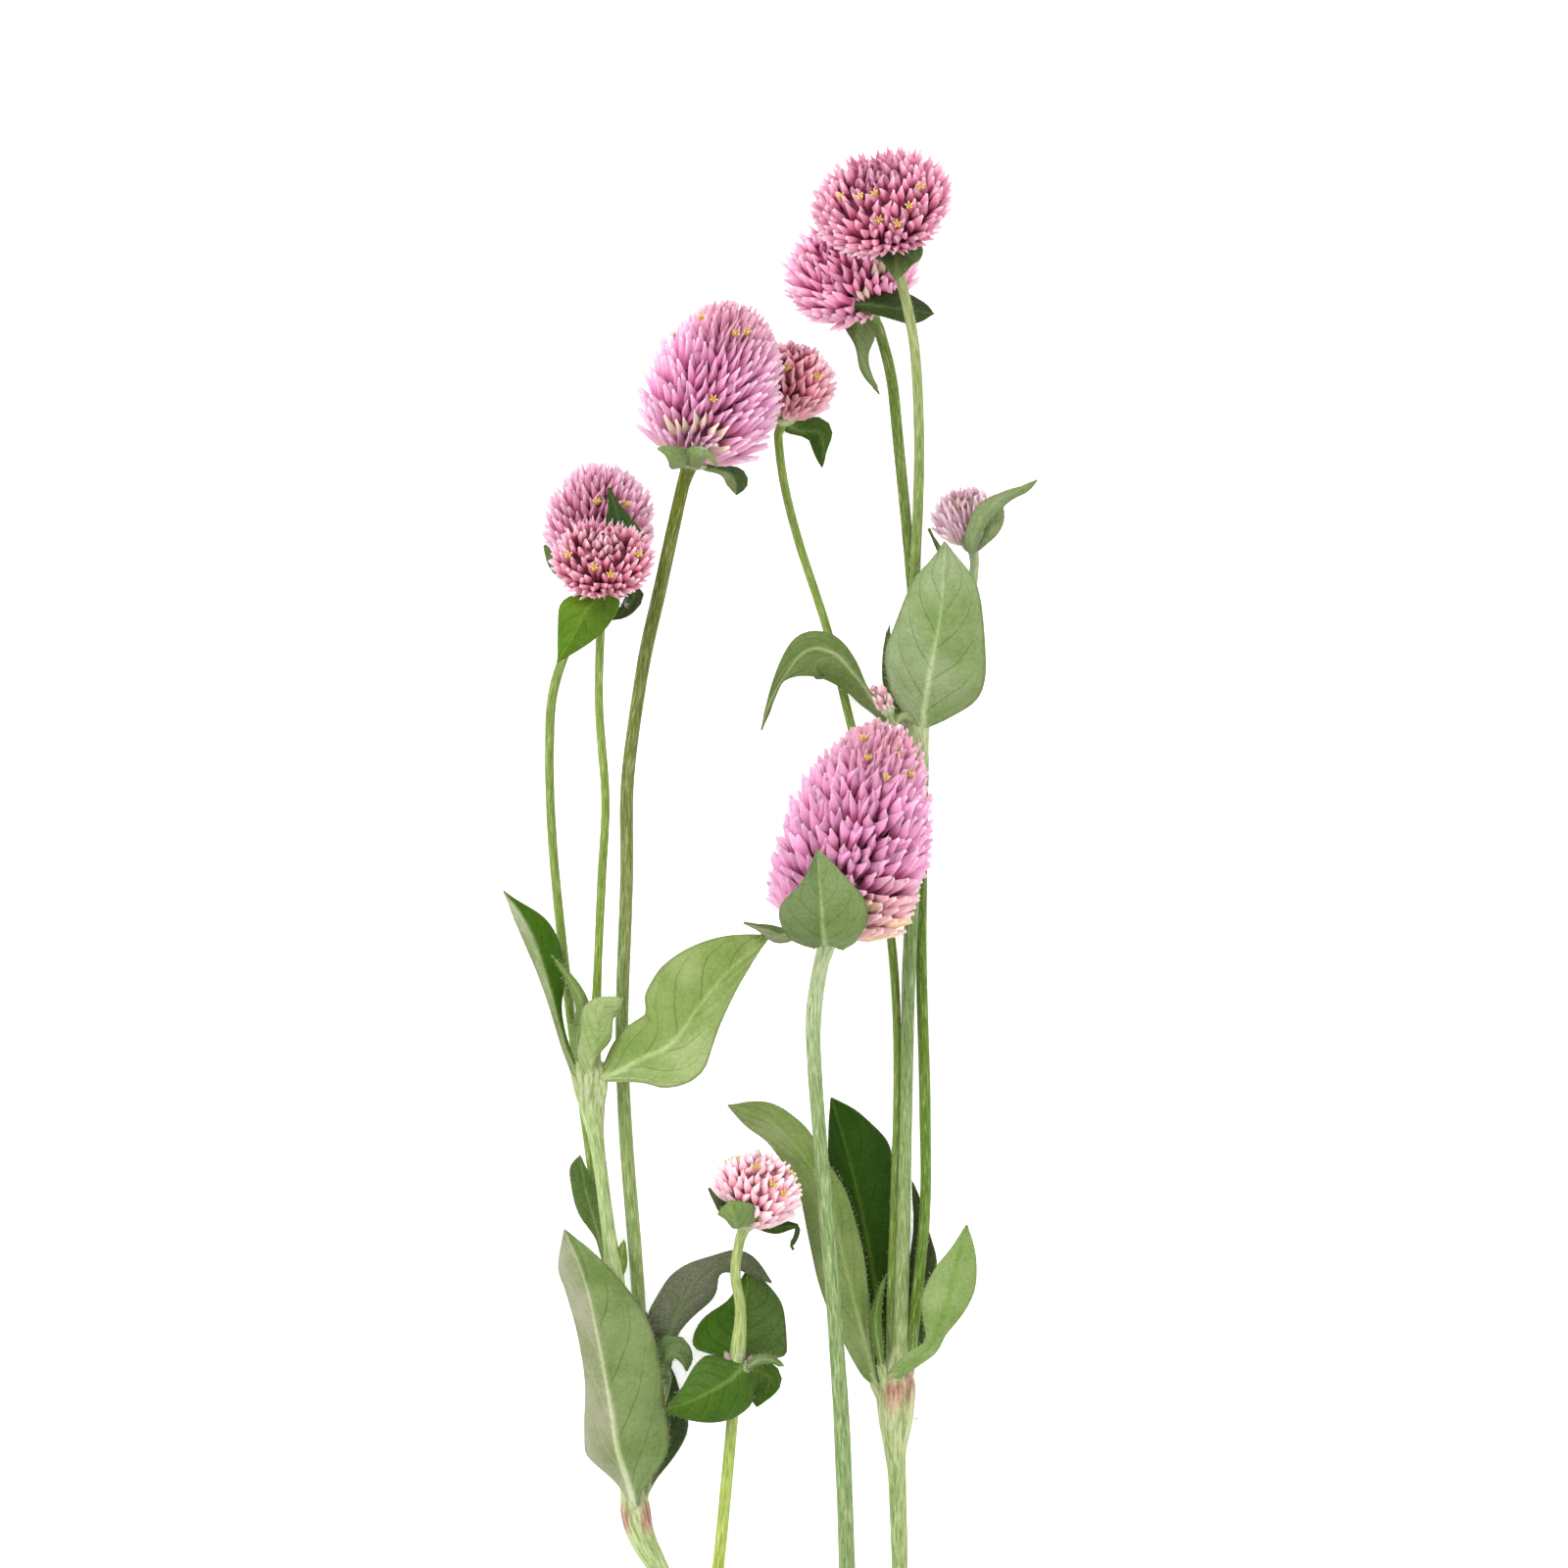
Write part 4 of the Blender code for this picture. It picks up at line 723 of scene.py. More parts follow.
def add_blade(work, form, colours, seed, brightness):
    """One leaf or bract: a grid along its midrib, bent, waved and quilted between its side veins."""
    midrib, left, right, left_bend, right_bend, *lobes = form
    spine = even_points(midrib, LEAF_STEP)
    last = len(spine) - 1
    frames = blade_frames(spine)
    widths = [half_widths(spine, left, -1), half_widths(spine, right, 1)]
    if lobes:
        widths = [[side[1], *side[1:]] for side in widths]
    onward = (spine[-1] - spine[0]).normalized()
    widest = max(widths[0] + widths[1])
    columns = 28 if widest > 4.5 else 16 if widest > 2 else 10
    length = last * LEAF_STEP
    spacing = max(LEAST_VEIN_SPACING, length / VEINS)
    drops = [math.tan(math.radians(bend)) for bend in (left_bend, right_bend)]
    wrap, colour = value_layers(work)
    vein_width, midrib_glow = (work.verts.layers.float[layer] for layer in ("vein_width", "midrib_glow"))
    verts = bmesh.ops.create_grid(work, x_segments=columns, y_segments=last, size=1)["verts"]
    for vert in verts:
        half, across = int(vert.co.x > 0), abs(vert.co.x) ** 1.25
        row = round((vert.co.y + 1) / 2 * last)
        share = row / last
        ahead, to_right = frames[row]
        front = to_right.cross(ahead)
        out = widths[half][row] * across
        signed = out if half else -out
        between = vein_place(across, share, length / spacing) + 0.4 * half + 0.37 * seed
        rise = blade_rise(out, across, share, widest, colours[5], seed * 2.1 + half * 1.3, between)
        rise -= out * across * drops[half]
        lobe = (lobes or (0, 0))[half] * across ** 1.3 * smoothly(0.45, 0, share)
        spot = spine[row] + to_right * signed + front * rise - onward * lobe
        rough = noise.noise(Vector((spot.x, spot.y, seed)) * 0.22)
        spot += front * 0.35 * min(1, widest / 6) * rough * smoothly(0, 0.3, across)
        spot.z = max(spot.z, 0.3)
        vert.co = spot * MM
        if across > 0.99:
            margins.append((spot, to_right * math.copysign(1, signed) + ahead * 0.7))
        vert[wrap] = (signed, between, colours[3 + half] * smoothly(0.0, 0.25, across))
        vert[vein_width] = (0.3 - 0.16 * across) / spacing
        vert[colour] = blade_colour(colours, half, out, across, share)
        rib_edge = 0.2 + 0.05 * widest * (1 - share) ** 1.5
        vert[midrib_glow] = brightness * (1 - 0.7 * share) * smoothly(rib_edge, 0.3 * rib_edge, out)
    return verts


def thicken(piece):
    modifier = piece.modifiers.new("thickness", "SOLIDIFY")
    modifier.thickness = LEAF_THICKNESS * MM
    modifier.offset = 0


def make_leaf_material():
    """Matt green leaf: curved side veins, pale or darkened with painted crease shade, and a fine net between
    them, grey down in places, soft bump.
    """
    leaf = Finish("leaf_blade", Specular_IOR_Level=0.1, Subsurface_Weight=0.06,
                  Subsurface_Radius=(0.3, 0.6, 0.1), Subsurface_Scale=0.001)
    _, between, down = leaf.add("SeparateXYZ", leaf.read("Vector", "wrap"))
    place = leaf.object_place()
    waved = leaf.calculate("MULTIPLY_ADD", leaf.clouds(place, 140, 2), 0.28, between)
    steps_away = leaf.calculate(
        "DIVIDE", leaf.calculate("PINGPONG", waved, 0.5), leaf.read("Fac", "vein_width"))
    side_vein = leaf.in_range(steps_away, 0.3, 1.3, 1, 0)
    net = leaf.add("TexVoronoi", place, feature="DISTANCE_TO_EDGE", Scale=800)[0]
    net_vein = leaf.in_range(net, 0.0, 0.16, 1, 0)
    patches = leaf.clouds(place, 70, 2)
    clouds = leaf.clouds(place, 110, 7, 0.75)
    fuzz = leaf.clouds(place, 3600, 2, 0.7)
    tone = leaf.read("Alpha", "colour")
    pale_vein, painted_crease_shade = (leaf.calculate("MULTIPLY", side_vein, leaf.in_range(tone, 0.5, end))
                            for end in (1, 0))
    downy = leaf.calculate("MULTIPLY", leaf.in_range(fuzz, 0.4, 0.7, 0.1, 0.55), down)
    colour = leaf.read("Color", "colour")
    for blending, share, tint in (
            ("MULTIPLY", leaf.in_range(patches, 0.42, 0.62, 0, 0.75), (0.72, 0.82, 0.52, 1)),
            ("MULTIPLY", leaf.in_range(clouds, 0.4, 0.66, 0, 0.8), (0.62, 0.74, 0.44, 1)),
            ("MULTIPLY", leaf.in_range(net_vein, 0, 1, 0, 0.22), (0.66, 0.78, 0.5, 1)),
            ("SCREEN", pale_vein, (0.2, 0.22, 0.15, 1)),
            # Painted shade: on the other halves the side veins are darkened as if lying in shaded creases.
            ("MULTIPLY", painted_crease_shade, (0.4, 0.52, 0.3, 1)),
            ("SCREEN", leaf.read("Fac", "midrib_glow"), (0.3, 0.32, 0.19, 1)),
            ("MIX", downy, (0.3, 0.32, 0.24, 1))):
        colour = leaf.mix(blending, share, colour, tint)
    leaf.set("Base Color", colour)
    relief = leaf.calculate("ADD", leaf.in_range(net_vein, 0, 1, 0, 0.3), side_vein)
    normal = None
    for height, strength, distance in ((relief, 0.6, 0.0003), (clouds, 0.5, 0.0012), (fuzz, 0.6, 0.00012)):
        normal = leaf.bump(height, strength, distance, normal)
    leaf.set("Normal", normal)
    leaf.set("Roughness", leaf.in_range(clouds, 0.3, 0.7, 0.54, 0.72))
    return leaf.material


leaf_material = make_leaf_material()
for number, (leaf_name, form) in enumerate(LEAVES.items()):
    leaf_work = new_work()
    brightness = MIDRIBS.get(leaf_name, MIDRIB_BRIGHTNESS)
    add_blade(leaf_work, form, LEAF_COLOURS[leaf_name], number, brightness)
    leaf = finish_piece(leaf_work, leaf_name + "_detail", leaf_material)
    thicken(leaf)
    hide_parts(leaf_name)


# Petioles. Each leaf's midrib thickens to a short pale stalk that runs down the side of the node as a
# ridge, with a sheath of soft hairs tinged pink where two stalks meet.
PETIOLE_RUN = 7.0
PETIOLE_SIDES = 12


def ridged(around, row):
    return 1 + 0.04 * math.cos(6 * around)


petiole_work = new_work()
for leaf_name, (midrib, *_) in LEAVES.items():
    points = even_points(midrib, LEAF_STEP)
    base, size = points[0], min(1, len(points) / 32)
    foot = base + Vector((0, -PETIOLE_RUN * size, 0))
    stem, lower = (min(stem_rings, key=lambda ring: (ring.xyz - place).length) for place in (base, foot))
    beside = base - stem.xyz
    beside *= min(1, 0.8 * lower.w / max(0.1, beside.length))
    root = lower.xyz + beside
    count = max(4, min(14, round(len(points) * 0.3)))
    thick = 0.35 + 0.75 * size
    rings = [(*root, 0.3), (*root.lerp(base, 0.35), 0.75 * thick), (*root.lerp(base, 0.7), thick)]
    rings += [(*(points[k] + Vector((0, 0, -0.5))), thick * (1 - k / count) ** 1.2 + 0.1)
              for k in range(count + 1)]
    rings = even_points(rings, LEAF_STEP)
    pale = linear(LEAF_COLOURS[leaf_name][2])

    def stalk_green(around, row, spot):
        plain = blend(linear(NODE_GREEN), pale, row / len(rings))
        return blend(plain, linear(BLUSH), blushing(spot, around))

    add_tube(petiole_work, rings, PETIOLE_SIDES, ridged, stalk_green)
finish_piece(petiole_work, "petioles", stem_material, sharp=60)


# Collars and leafy bracts. Under every head a green collar, downy and lobed, spreads from the top of its
# stalk. All but the bud's carry one to three small leaves, folded back or pressed against the florets.
COLLAR_SHARE = 0.13

# Each bract is given as a leaf is, and starts from the middle of the collar. With two more numbers it starts
# from its own first point, and they say how many millimetres the lobes beside its stalk reach back.
BRACTS = {
    "left_tall": [
        ([(-15.6, 117.6, 25), (-16.8, 119, 29.6), (-18.6, 120.2, 30.6), (-20.4, 120.6, 29.8)],
         [0.6, 1.3, 1.9, 2.3, 2, 1.2],
         [1.4, 2.2, 2.5, 2.4, 1.9, 1.1],
         20, 20),
        ([(-14.6, 117.6, 25), (-13.2, 119.3, 30), (-11.4, 119.4, 31), (-9.7, 117.6, 30)],
         [1.4, 2.3, 2.6, 2.6, 2, 0.8],
         [1, 1.6, 1.8, 1.6, 1.2, 0.5],
         16, 16),
        ([(-11.5, 117.4, 15.2), (-8, 116.6, 14), (-6.4, 115, 13.4), (-6.2, 112.4, 13.4)],
         [(-11.5, 118), (-7, 117.4), (-4.1, 116.8), (-4.2, 113.6), (-5.4, 112.2), (-6.2, 112.1)],
         [(-11.5, 116.8), (-8.8, 116), (-8.1, 114.4), (-6.8, 112.2)],
         22, 12),
    ],
    "front_cone": [
        ([(9.9, 30.6, 29), (9.8, 31.6, 34), (9.6, 33.6, 36), (9.4, 37.1, 37), (9, 42.5, 37.6),
          (8.6, 47.7, 37.6)],
         [(3.2, 30.4), (3, 31.4), (1.7, 34.4), (1.6, 36.4), (2.5, 38.4), (5.4, 41), (7.2, 44.8),
          (8.6, 47.7)],
         [(15, 30), (15.4, 31.2), (17.4, 33.6), (17.7, 36.2), (16.6, 39.2), (14, 42.3), (11, 45.7),
          (8.6, 47.7)],
         14, 14, 1.2, 2.8),
        ([(5.8, 32, 16.6), (2, 32, 15.4), (-1.1, 33.1, 14.6), (-4.9, 34.2, 14.2)],
         [0.2, 0.3, 0.6, 1.4, 1.7, 1.2, 0.4],
         [0.2, 0.3, 0.6, 1.2, 1.4, 1, 0.4],
         8, 8),
    ],
    "top_front": [
        ([(22.6, 156.8, 29), (22.8, 154.6, 33), (22.8, 151.2, 35.2)],
         [(27.4, 159), (28, 158), (27, 155.4), (25.2, 153.2), (22.8, 151)],
         [(18.4, 157.6), (18.5, 156.4), (19.8, 155), (21.4, 153.2), (22.8, 151)],
         10, 10),
    ],
    "top_rear": [
        ([(13.9, 147.2, 17), (17.5, 147.2, 19), (21.6, 146.6, 19), (25.6, 146.2, 16), (29.9, 145.6, 12)],
         [(13.8, 147.8), (16, 148.8), (18.6, 149.9), (21.6, 150.3), (24, 149.8), (29, 147.2),
          (29.9, 145.6)],
         [(13.8, 146.8), (15.5, 145.9), (19.1, 145.3), (24, 143.9), (27.2, 143.8), (29.9, 145.6)],
         10, 10, 0, 0),
        ([(16.4, 144.7, 6.4), (16, 141.5, 6.8), (17.1, 136.1, 7.4), (20, 131, 8.2)],
         [(18.9, 145.3), (18.9, 145.6), (19.3, 141.5), (18, 138.8), (18.4, 135.2), (20, 131)],
         [(13.1, 146), (13.7, 143.3), (15.5, 140.2), (16.6, 135.2), (19.1, 131.9), (20, 131)],
         12, 12),
    ],
    "upper_small": [
        ([(5, 124.4, 4), (8.6, 124.2, 3.6), (9.7, 121.5, 4), (9.5, 117.7, 4.4)],
         [(1.3, 126.2), (6.7, 126.7), (11.5, 126.4), (11.3, 124.2), (10.1, 120.1), (9.5, 117.7)],
         [(2, 123.5), (4.9, 124), (7, 122.9), (8.1, 119.7), (9.5, 117.7)],
         12, 12),
    ],
    "left_rear": [
        ([(-37, 97.4, 7), (-38.8, 99.4, 6), (-40.2, 101.4, 5.6), (-41.4, 103.4, 5.4)],
         [0.2, 0.3, 0.8, 1.5, 1.5, 0.9],
         [0.2, 0.4, 0.8, 1.2, 1.2, 0.8],
         8, 8),
    ],
    "left_front": [
        ([(-31.5, 93.6, 26.8), (-33.5, 91.1, 28.2), (-35.6, 86.9, 28), (-38.7, 81.7, 26.6)],
         [(-26.3, 93.4), (-27.7, 91.1), (-30.2, 87.5), (-33.5, 84.8), (-38.7, 81.7)],
         [(-31.5, 94.1), (-35.3, 94.1), (-38, 93.4), (-38.5, 91.1), (-38.7, 87.5), (-38.7, 81.7)],
         12, 10),
        ([(-25, 94.4, 22.4), (-25.6, 92.6, 22), (-27, 91, 21.6), (-29.2, 89.6, 21.4)],
         [0.8, 1.3, 1.7, 1.7, 1.2],
         [0.8, 1.2, 1.4, 1.3, 0.7],
         8, 8),
        ([(-27.5, 96.1, 22.4), (-26.8, 101.5, 21.2), (-27.6, 107.5, 21), (-29.4, 113.6, 20.8)],
         [2, 3.6, 4.6, 4.8, 3, 1],
         [2, 3.6, 4.6, 4.2, 2.4, 0.8],
         6, 10),
    ],
    "low_small": [
        ([(-6, -21.2, 22.5), (-6.4, -19.8, 25.6), (-6.8, -18.2, 27), (-7.5, -16.3, 27.2)],
         [(-7, -21.2), (-9.2, -19.6), (-10.3, -18), (-10.4, -16.6), (-9, -16.1), (-7.5, -16.3)],
         [(-5, -21.3), (-3.4, -21), (-2.3, -19.4), (-3, -17.4), (-4.9, -16.2), (-7.5, -16.3)],
         24, 24),
        ([(-8, -18.6, 22.6), (-9.4, -17, 24.4), (-11.2, -14, 24.8)],
         [0.6, 1, 0.9, 0.4],
         [1.2, 2.2, 2, 0.7],
         6, 6),
        ([(-2.4, -21.2, 13), (1, -21.5, 13.2), (3.4, -21.3, 13), (4.9, -21.4, 12.8), (4.7, -23.2, 12.6),
          (3.9, -24.9, 12.4), (4.3, -25.6, 12.4)],
         [0.2, 0.5, 1.2, 1.9, 1.4, 0.4, 0.2, 0.15],
         [0.2, 0.5, 0.9, 1.3, 1, 0.4, 0.2, 0.15],
         10, 10),
    ],
    "right_small": [
        ([(36.9, 102.2, 8.4), (37.4, 105.4, 12.4), (39.6, 109.4, 14.2), (43, 112, 13.6),
          (46.2, 113.6, 12.4), (48.8, 115.2, 11.4)],
         [(35.6, 102.6), (35.4, 104), (36.2, 107.2), (36.8, 108.7), (38.2, 110.8), (40.6, 112.2),
          (44.7, 113.8), (47.6, 114.4), (48.8, 115.2)],
         [(37.8, 102.2), (38.4, 104.4), (39.4, 106.8), (41.8, 109.3), (43.2, 110.8), (45.3, 112.2),
          (47.6, 113.3), (48.8, 115.2)],
         12, 12),
        ([(37.8, 102.6, 7.4), (39.6, 104.8, 10.6), (41.2, 107.4, 12), (42.5, 110.4, 11.4)],
         [(37.4, 102.8), (38.3, 104.8), (39.3, 107.2), (40.9, 109.2), (42.5, 110.4)],
         [(38.2, 102.4), (40.1, 103.9), (41.8, 105.5), (42.8, 107.6), (42.9, 109.3), (42.5, 110.4)],
         12, 12),
    ],
}
# Colours of each bract, given as LEAF_COLOURS gives a leaf's.
DOWNY = (150, 166, 108), (142, 160, 100), (184, 196, 148), 0.6, 0.6, 0.3
DARK = (56, 72, 28), (62, 82, 30), (112, 130, 68), 0.1, 0.1, 0.5
BRACT_COLOURS = {
    "left_tall": [DOWNY, DOWNY, ((70, 96, 40), (156, 172, 116), (176, 190, 140), 0.3, 0.5, 0.3)],
    "front_cone": [((112, 134, 76), (134, 154, 92), (186, 200, 146), 0.35, 0.35, 0.4),
                   ((150, 156, 124), (92, 112, 58), (140, 158, 104), 0.6, 0.3, 0.3)],
    "top_front": [((104, 130, 62), (92, 120, 52), (160, 178, 116), 0.2, 0.2, 0.6)],
    "top_rear": [DARK, ((136, 156, 96), (112, 134, 66), (170, 186, 130), 0.35, 0.35, 0.5)],
    "upper_small": [((84, 122, 40), (72, 108, 30), (140, 168, 84), 0.1, 0.1, 0.6)],
    "left_rear": [((104, 128, 72), (104, 128, 72), (150, 168, 116), 0.3, 0.3, 0.3)],
    "left_front": [((96, 132, 9), (107, 144, 14), (130, 164, 50), 0.1, 0.1, 0.3), DARK,
                   ((52, 82, 26), (60, 90, 32), (120, 146, 80), 0.1, 0.1, 0.5)],
    "low_small": [((148, 168, 104), (136, 158, 92), (190, 202, 150), 0.3, 0.3, 0.4),
                  ((74, 88, 48), (70, 84, 44), (110, 124, 80), 0.3, 0.3, 0.3),
                  ((58, 92, 20), (72, 108, 26), (120, 150, 70), 0.1, 0.1, 0.4)],
    "right_small": [((150, 166, 120), (140, 158, 108), (186, 198, 156), 0.35, 0.35, 0.4),
                    ((160, 174, 126), (152, 168, 116), (200, 210, 170), 0.35, 0.35, 0.4)],
}
# The bracts that lie in front of their head and press its florets back.
PRESSING = {"left_tall": (0, 1), "front_cone": (0,), "top_rear": (0,), "low_small": (0, 1)}
# How bright the midribs of the bracts are.
KEEL_BRIGHTNESS = 0.15
FRONT_KEEL_BRIGHTNESS = 0.5
# The first number that marks how a bract's margins wave. Leaves have the lower ones.
FIRST_BRACT_SEED = 30


def add_collar(work, name, seed):
    """The lobed, downy disc between a stalk and its head."""
    middle, axis = collar_of(name)
    radius = max(1.2, COLLAR_SHARE * HEADS[name][2])
    wrap, colour = value_layers(work)
    turn = axis.to_track_quat("Z", "Y").to_matrix()
    for vert in bmesh.ops.create_uvsphere(work, u_segments=24, v_segments=12, radius=1)["verts"]:
        around = math.atan2(vert.co.y, vert.co.x)
        lobe = 1 + 0.16 * math.cos(5 * around + seed) + 0.1 * noise.noise(vert.co * 3)
        wide = radius * lobe * (0.6 + 0.4 * smoothly(-1, 0.2, vert.co.z))
        high = (0.9 if vert.co.z > 0 else 1.6) * COLLAR_THICKNESS
        vert[wrap] = (radius * 0.5, 0.5, 0.5)
        paler = 0.35 * smoothly(0.3, -1, vert.co.z)
        vert[colour] = (*blend(linear(DOWNY[0]), linear(NODE_GREEN), paler), 1)
        spot = middle + turn @ Vector((vert.co.x * wide, vert.co.y * wide, vert.co.z * high))
        spot.z = max(spot.z, 0.1)
        vert.co = spot * MM


def as_obstacle(verts):
    """A blade that is still under construction, as a surface that rays can meet."""
    faces = {face for vert in verts for face in vert.link_faces}
    corners = list(dict.fromkeys(vert for face in faces for vert in face.verts))
    at = {vert: index for index, vert in enumerate(corners)}
    return BVHTree.FromPolygons(
        [vert.co for vert in corners], [[at[vert] for vert in face.verts] for face in faces])


pressing = {}
for number, name in enumerate(HEADS):
    if name in BRACTS:
        bract_work = new_work()
        brightness = FRONT_KEEL_BRIGHTNESS if name == "front_cone" else KEEL_BRIGHTNESS
        for place, ((midrib, *rest), colours) in enumerate(zip(BRACTS[name], BRACT_COLOURS[name])):
            if len(rest) <= 4:
                midrib = [tuple(collar_of(name)[0]), *midrib]
            verts = add_blade(bract_work, (midrib, *rest), colours, number + FIRST_BRACT_SEED, brightness)
            if place in PRESSING.get(name, ()):
                pressing.setdefault(name, []).append(as_obstacle(verts))
        leafy = finish_piece(bract_work, f"bracts_{name}_detail", leaf_material)
        thicken(leafy)
        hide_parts("bracts_" + name)
    collar_work = new_work()
    add_collar(collar_work, name, number)
    collar = finish_piece(collar_work, f"collar_{name}", leaf_material)
    if name not in BRACTS:
        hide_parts("bracts_" + name)


# Heads. Each is a ball of florets in a spiral on a core darkened as painted shade between them. A floret is
# two keeled, boat-shaped, papery bracteoles side by side, magenta-pink at the base, deepened there partly as
# painted shade, and pale at their two sharp tips.
UNDERSIDE_SPREAD = 0.6
UNDERSIDE_TURN = math.radians(30)
CORE_SHARE = 0.66
GOLDEN_ANGLE = math.radians(137.508)
FLORET_RINGS = 6
FLORET_GLOW = 1.4
STAR_RADIUS = 0.95
# Above 1 the florets stand closer together towards the top of a head.
CROWDING = 1.3
# How many florets would cover the whole head, how far one at its waist leans out from the axis, how far
# down the head they begin to fan out from the collar and how far down they end (in degrees), and how deep
# the cleft between a floret's two tips and half its width are (in floret spacings).
FLORETS = {
    "left_tall": (290, 56, 95, 138, 1.3, 0.52),
    "front_cone": (340, 53, 112, 146, 0.85, 0.66),
    "top_front": (185, 50, 80, 142, 0.9, 0.66),
    "top_rear": (220, 54, 76, 128, 1.0, 0.55),
    "upper_small": (115, 58, 76, 128, 1.0, 0.55),
    "left_rear": (185, 56, 85, 134, 1.0, 0.5),
    "left_front": (130, 50, 84, 140, 0.9, 0.66),
    "low_small": (100, 60, 76, 128, 1.0, 0.6),
    "right_small": (84, 32, 76, 128, 1.0, 0.4),
    "bud": (8, 16, 76, 128, 1.0, 0.36),
}
CREAM = (236, 222, 196)
STRAW = (226, 202, 154)
MAUVE = (186, 140, 164)
WHITISH = (232, 206, 214)
# Colours of the florets' base, body and tips on each head, and of the youngest ones on top. The base is
# a deeper pink, and partly painted shade for the depth between the florets.
FLORET_COLOURS = {
    "left_tall": ((212, 124, 166), (228, 158, 200), (232, 188, 210), (206, 146, 154)),
    "front_cone": ((196, 106, 148), (222, 154, 192), (222, 170, 198), (196, 136, 142)),
    "top_front": ((184, 84, 116), (212, 130, 158), (230, 182, 198), MAUVE),
    "top_rear": ((199, 90, 134), (236, 156, 192), (242, 194, 214), MAUVE),
    "upper_small": ((194, 104, 118), (230, 158, 170), (232, 186, 194), MAUVE),
    "left_rear": ((176, 90, 118), (208, 138, 168), (226, 180, 198), MAUVE),
    "left_front": ((172, 76, 98), (204, 118, 140), (232, 186, 200), WHITISH),
    "low_small": ((238, 164, 176), (255, 212, 222), (252, 224, 228), WHITISH),
    "right_small": ((205, 177, 168), (210, 166, 192), (238, 214, 222), (208, 158, 180)),
    "bud": ((196, 146, 146), (230, 186, 186), (240, 212, 208), MAUVE),
}
# An open flower's colours in its throat and on its lobes.
STAR_COLOURS = (214, 140, 40), (255, 230, 110)
# Where pale florets, open yellow flowers and a patch gone to straw show, as seen from above.
PALE_FLORETS = {
    "left_tall": [(-18.5, 126.2), (-15.5, 125.1), (-12.6, 126.2), (-8.1, 123.8), (-7, 122.2)],
    "top_rear": [(18.5, 153.5), (15.2, 151.4)],
}
# The middle of the patch, and how far round.
FADED = {"front_cone": ((22.4, 32.4), 13)}
NOWHERE = ((0, 0), 0.1)
OPEN_FLOWERS = {
    "left_tall": [(-7.2, 142.4), (-3.4, 142.7), (-13, 144.5), (-18, 141.8), (-9.9, 131.2), (0.5, 134)],
    "front_cone": [(17.8, 69.3), (18.2, 66.4), (23.9, 65.9), (20.7, 61.5), (25.9, 62.3)],
    "top_front": [(19.4, 167.2), (23, 165.8), (26.3, 168.3), (13.3, 166.3), (16.2, 164.5), (19.3, 162.7),
                  (22.7, 161.6)],
    "upper_small": [(3.9, 136.4), (8.2, 134.5)],
    "left_rear": [(-31.1, 112.3), (-27.2, 111.8)],
    "left_front": [(-31.9, 99.2), (-28.2, 98.1), (-37, 101.5), (-23.7, 101.5)],
    "low_small": [(-5.9, -10), (-2.9, -9.9), (0.5, -12.8), (2.2, -15), (3.4, -11.9), (-7.9, -7.9)],
}
# A head lower than this share of its width is a flat one.
FLAT = 0.9
# How far a floret stays behind the bract that presses on it, and the furthest it is pressed back.
PRESSED_GAP = 1.2
MOST_PRESSED = 9


def head_axes(name):
    """A head's middle and the matrix that turns +Z to its axis."""
    middle, axis = Vector(HEADS[name][0]), Vector(HEADS[name][1]).normalized()
    upper = (Vector((0, 0, 1)) - axis * axis.z).normalized()
    return middle, Matrix((upper.cross(axis), upper, axis)).transposed()


def head_point(name, polar, around, depth_share):
    """A point of a head about its middle: depth 0 on the core and 1 at the tips of the florets."""
    _, _, width, height, narrowing = HEADS[name]
    spread = math.sin(polar)
    if polar > math.pi / 2:
        spread += (1 - spread) * UNDERSIDE_SPREAD * min(1, (math.pi - polar) / UNDERSIDE_TURN)
    reach = width / 2 * spread * (1 - narrowing * math.cos(polar))
    top, bottom = height / 2 - (1 - CORE_SHARE) * width / 2, -height / 2 * BASE_SHARE
    inner = (reach * CORE_SHARE, (top + bottom) / 2 + math.cos(polar) * (top - bottom) / 2)
    reach, up = (a + (b - a) * depth_share for a, b in zip(inner, (reach, height / 2 * math.cos(polar))))
    return Vector((reach * math.cos(around), reach * math.sin(around), up))


def make_floret():
    """Two mirrored bracteoles of unit length, width and depth, touching side by side and widest above the
    middle: each is folded along its outer face, flat inside, and ends in a sharp tooth."""
    work = bmesh.new()
    outline = [(-1.0, -0.5), (0.0, -0.4), (1.0, -0.5), (0.8, 0.3), (0.15, 1.0), (-0.85, 0.3)]
    sides = len(outline)
    for sign in (-1, 1):
        verts = bmesh.ops.create_grid(work, x_segments=sides, y_segments=FLORET_RINGS, size=1)["verts"]
        for vert in verts:
            corner = round((vert.co.x + 1) / 2 * sides) % sides
            t = (vert.co.y + 1) / 2
            opened = max(0.0, 2 * t - 1)
            keel = 0.5 + 0.9 * min(t, 0.5) - 0.25 * opened
            half = 0.5 * keel * (1 - opened) ** 1.15
            x, y = outline[corner]
            vert.co = Vector((sign * (keel + (x - 1) * half), y * (0.25 + half), t))
        bmesh.ops.remove_doubles(work, verts=verts, dist=1e-4)
    close_openings(work)
    bmesh.ops.recalc_face_normals(work, faces=work.faces)
    return as_mesh(work, "floret")


def make_star():
    """A tiny yellow flower of unit size: five blunt lobes round a dimple, on a short neck."""
    work = bmesh.new()
    bmesh.ops.create_cone(work, cap_ends=True, segments=20, radius1=0.3, radius2=1, depth=1.2)
    for vert in work.verts:
        if vert.co.z > 0:
            lobe = 0.6 + 0.4 * math.cos(5 * math.atan2(vert.co.y, vert.co.x))
            vert.co = Vector((vert.co.x * lobe, vert.co.y * lobe, 0.3 + 0.3 * lobe))
    top = [face for face in work.faces if face.calc_center_median().z > 0.3]
    bmesh.ops.poke(work, faces=top, offset=-0.3)
    return as_mesh(work, "star")


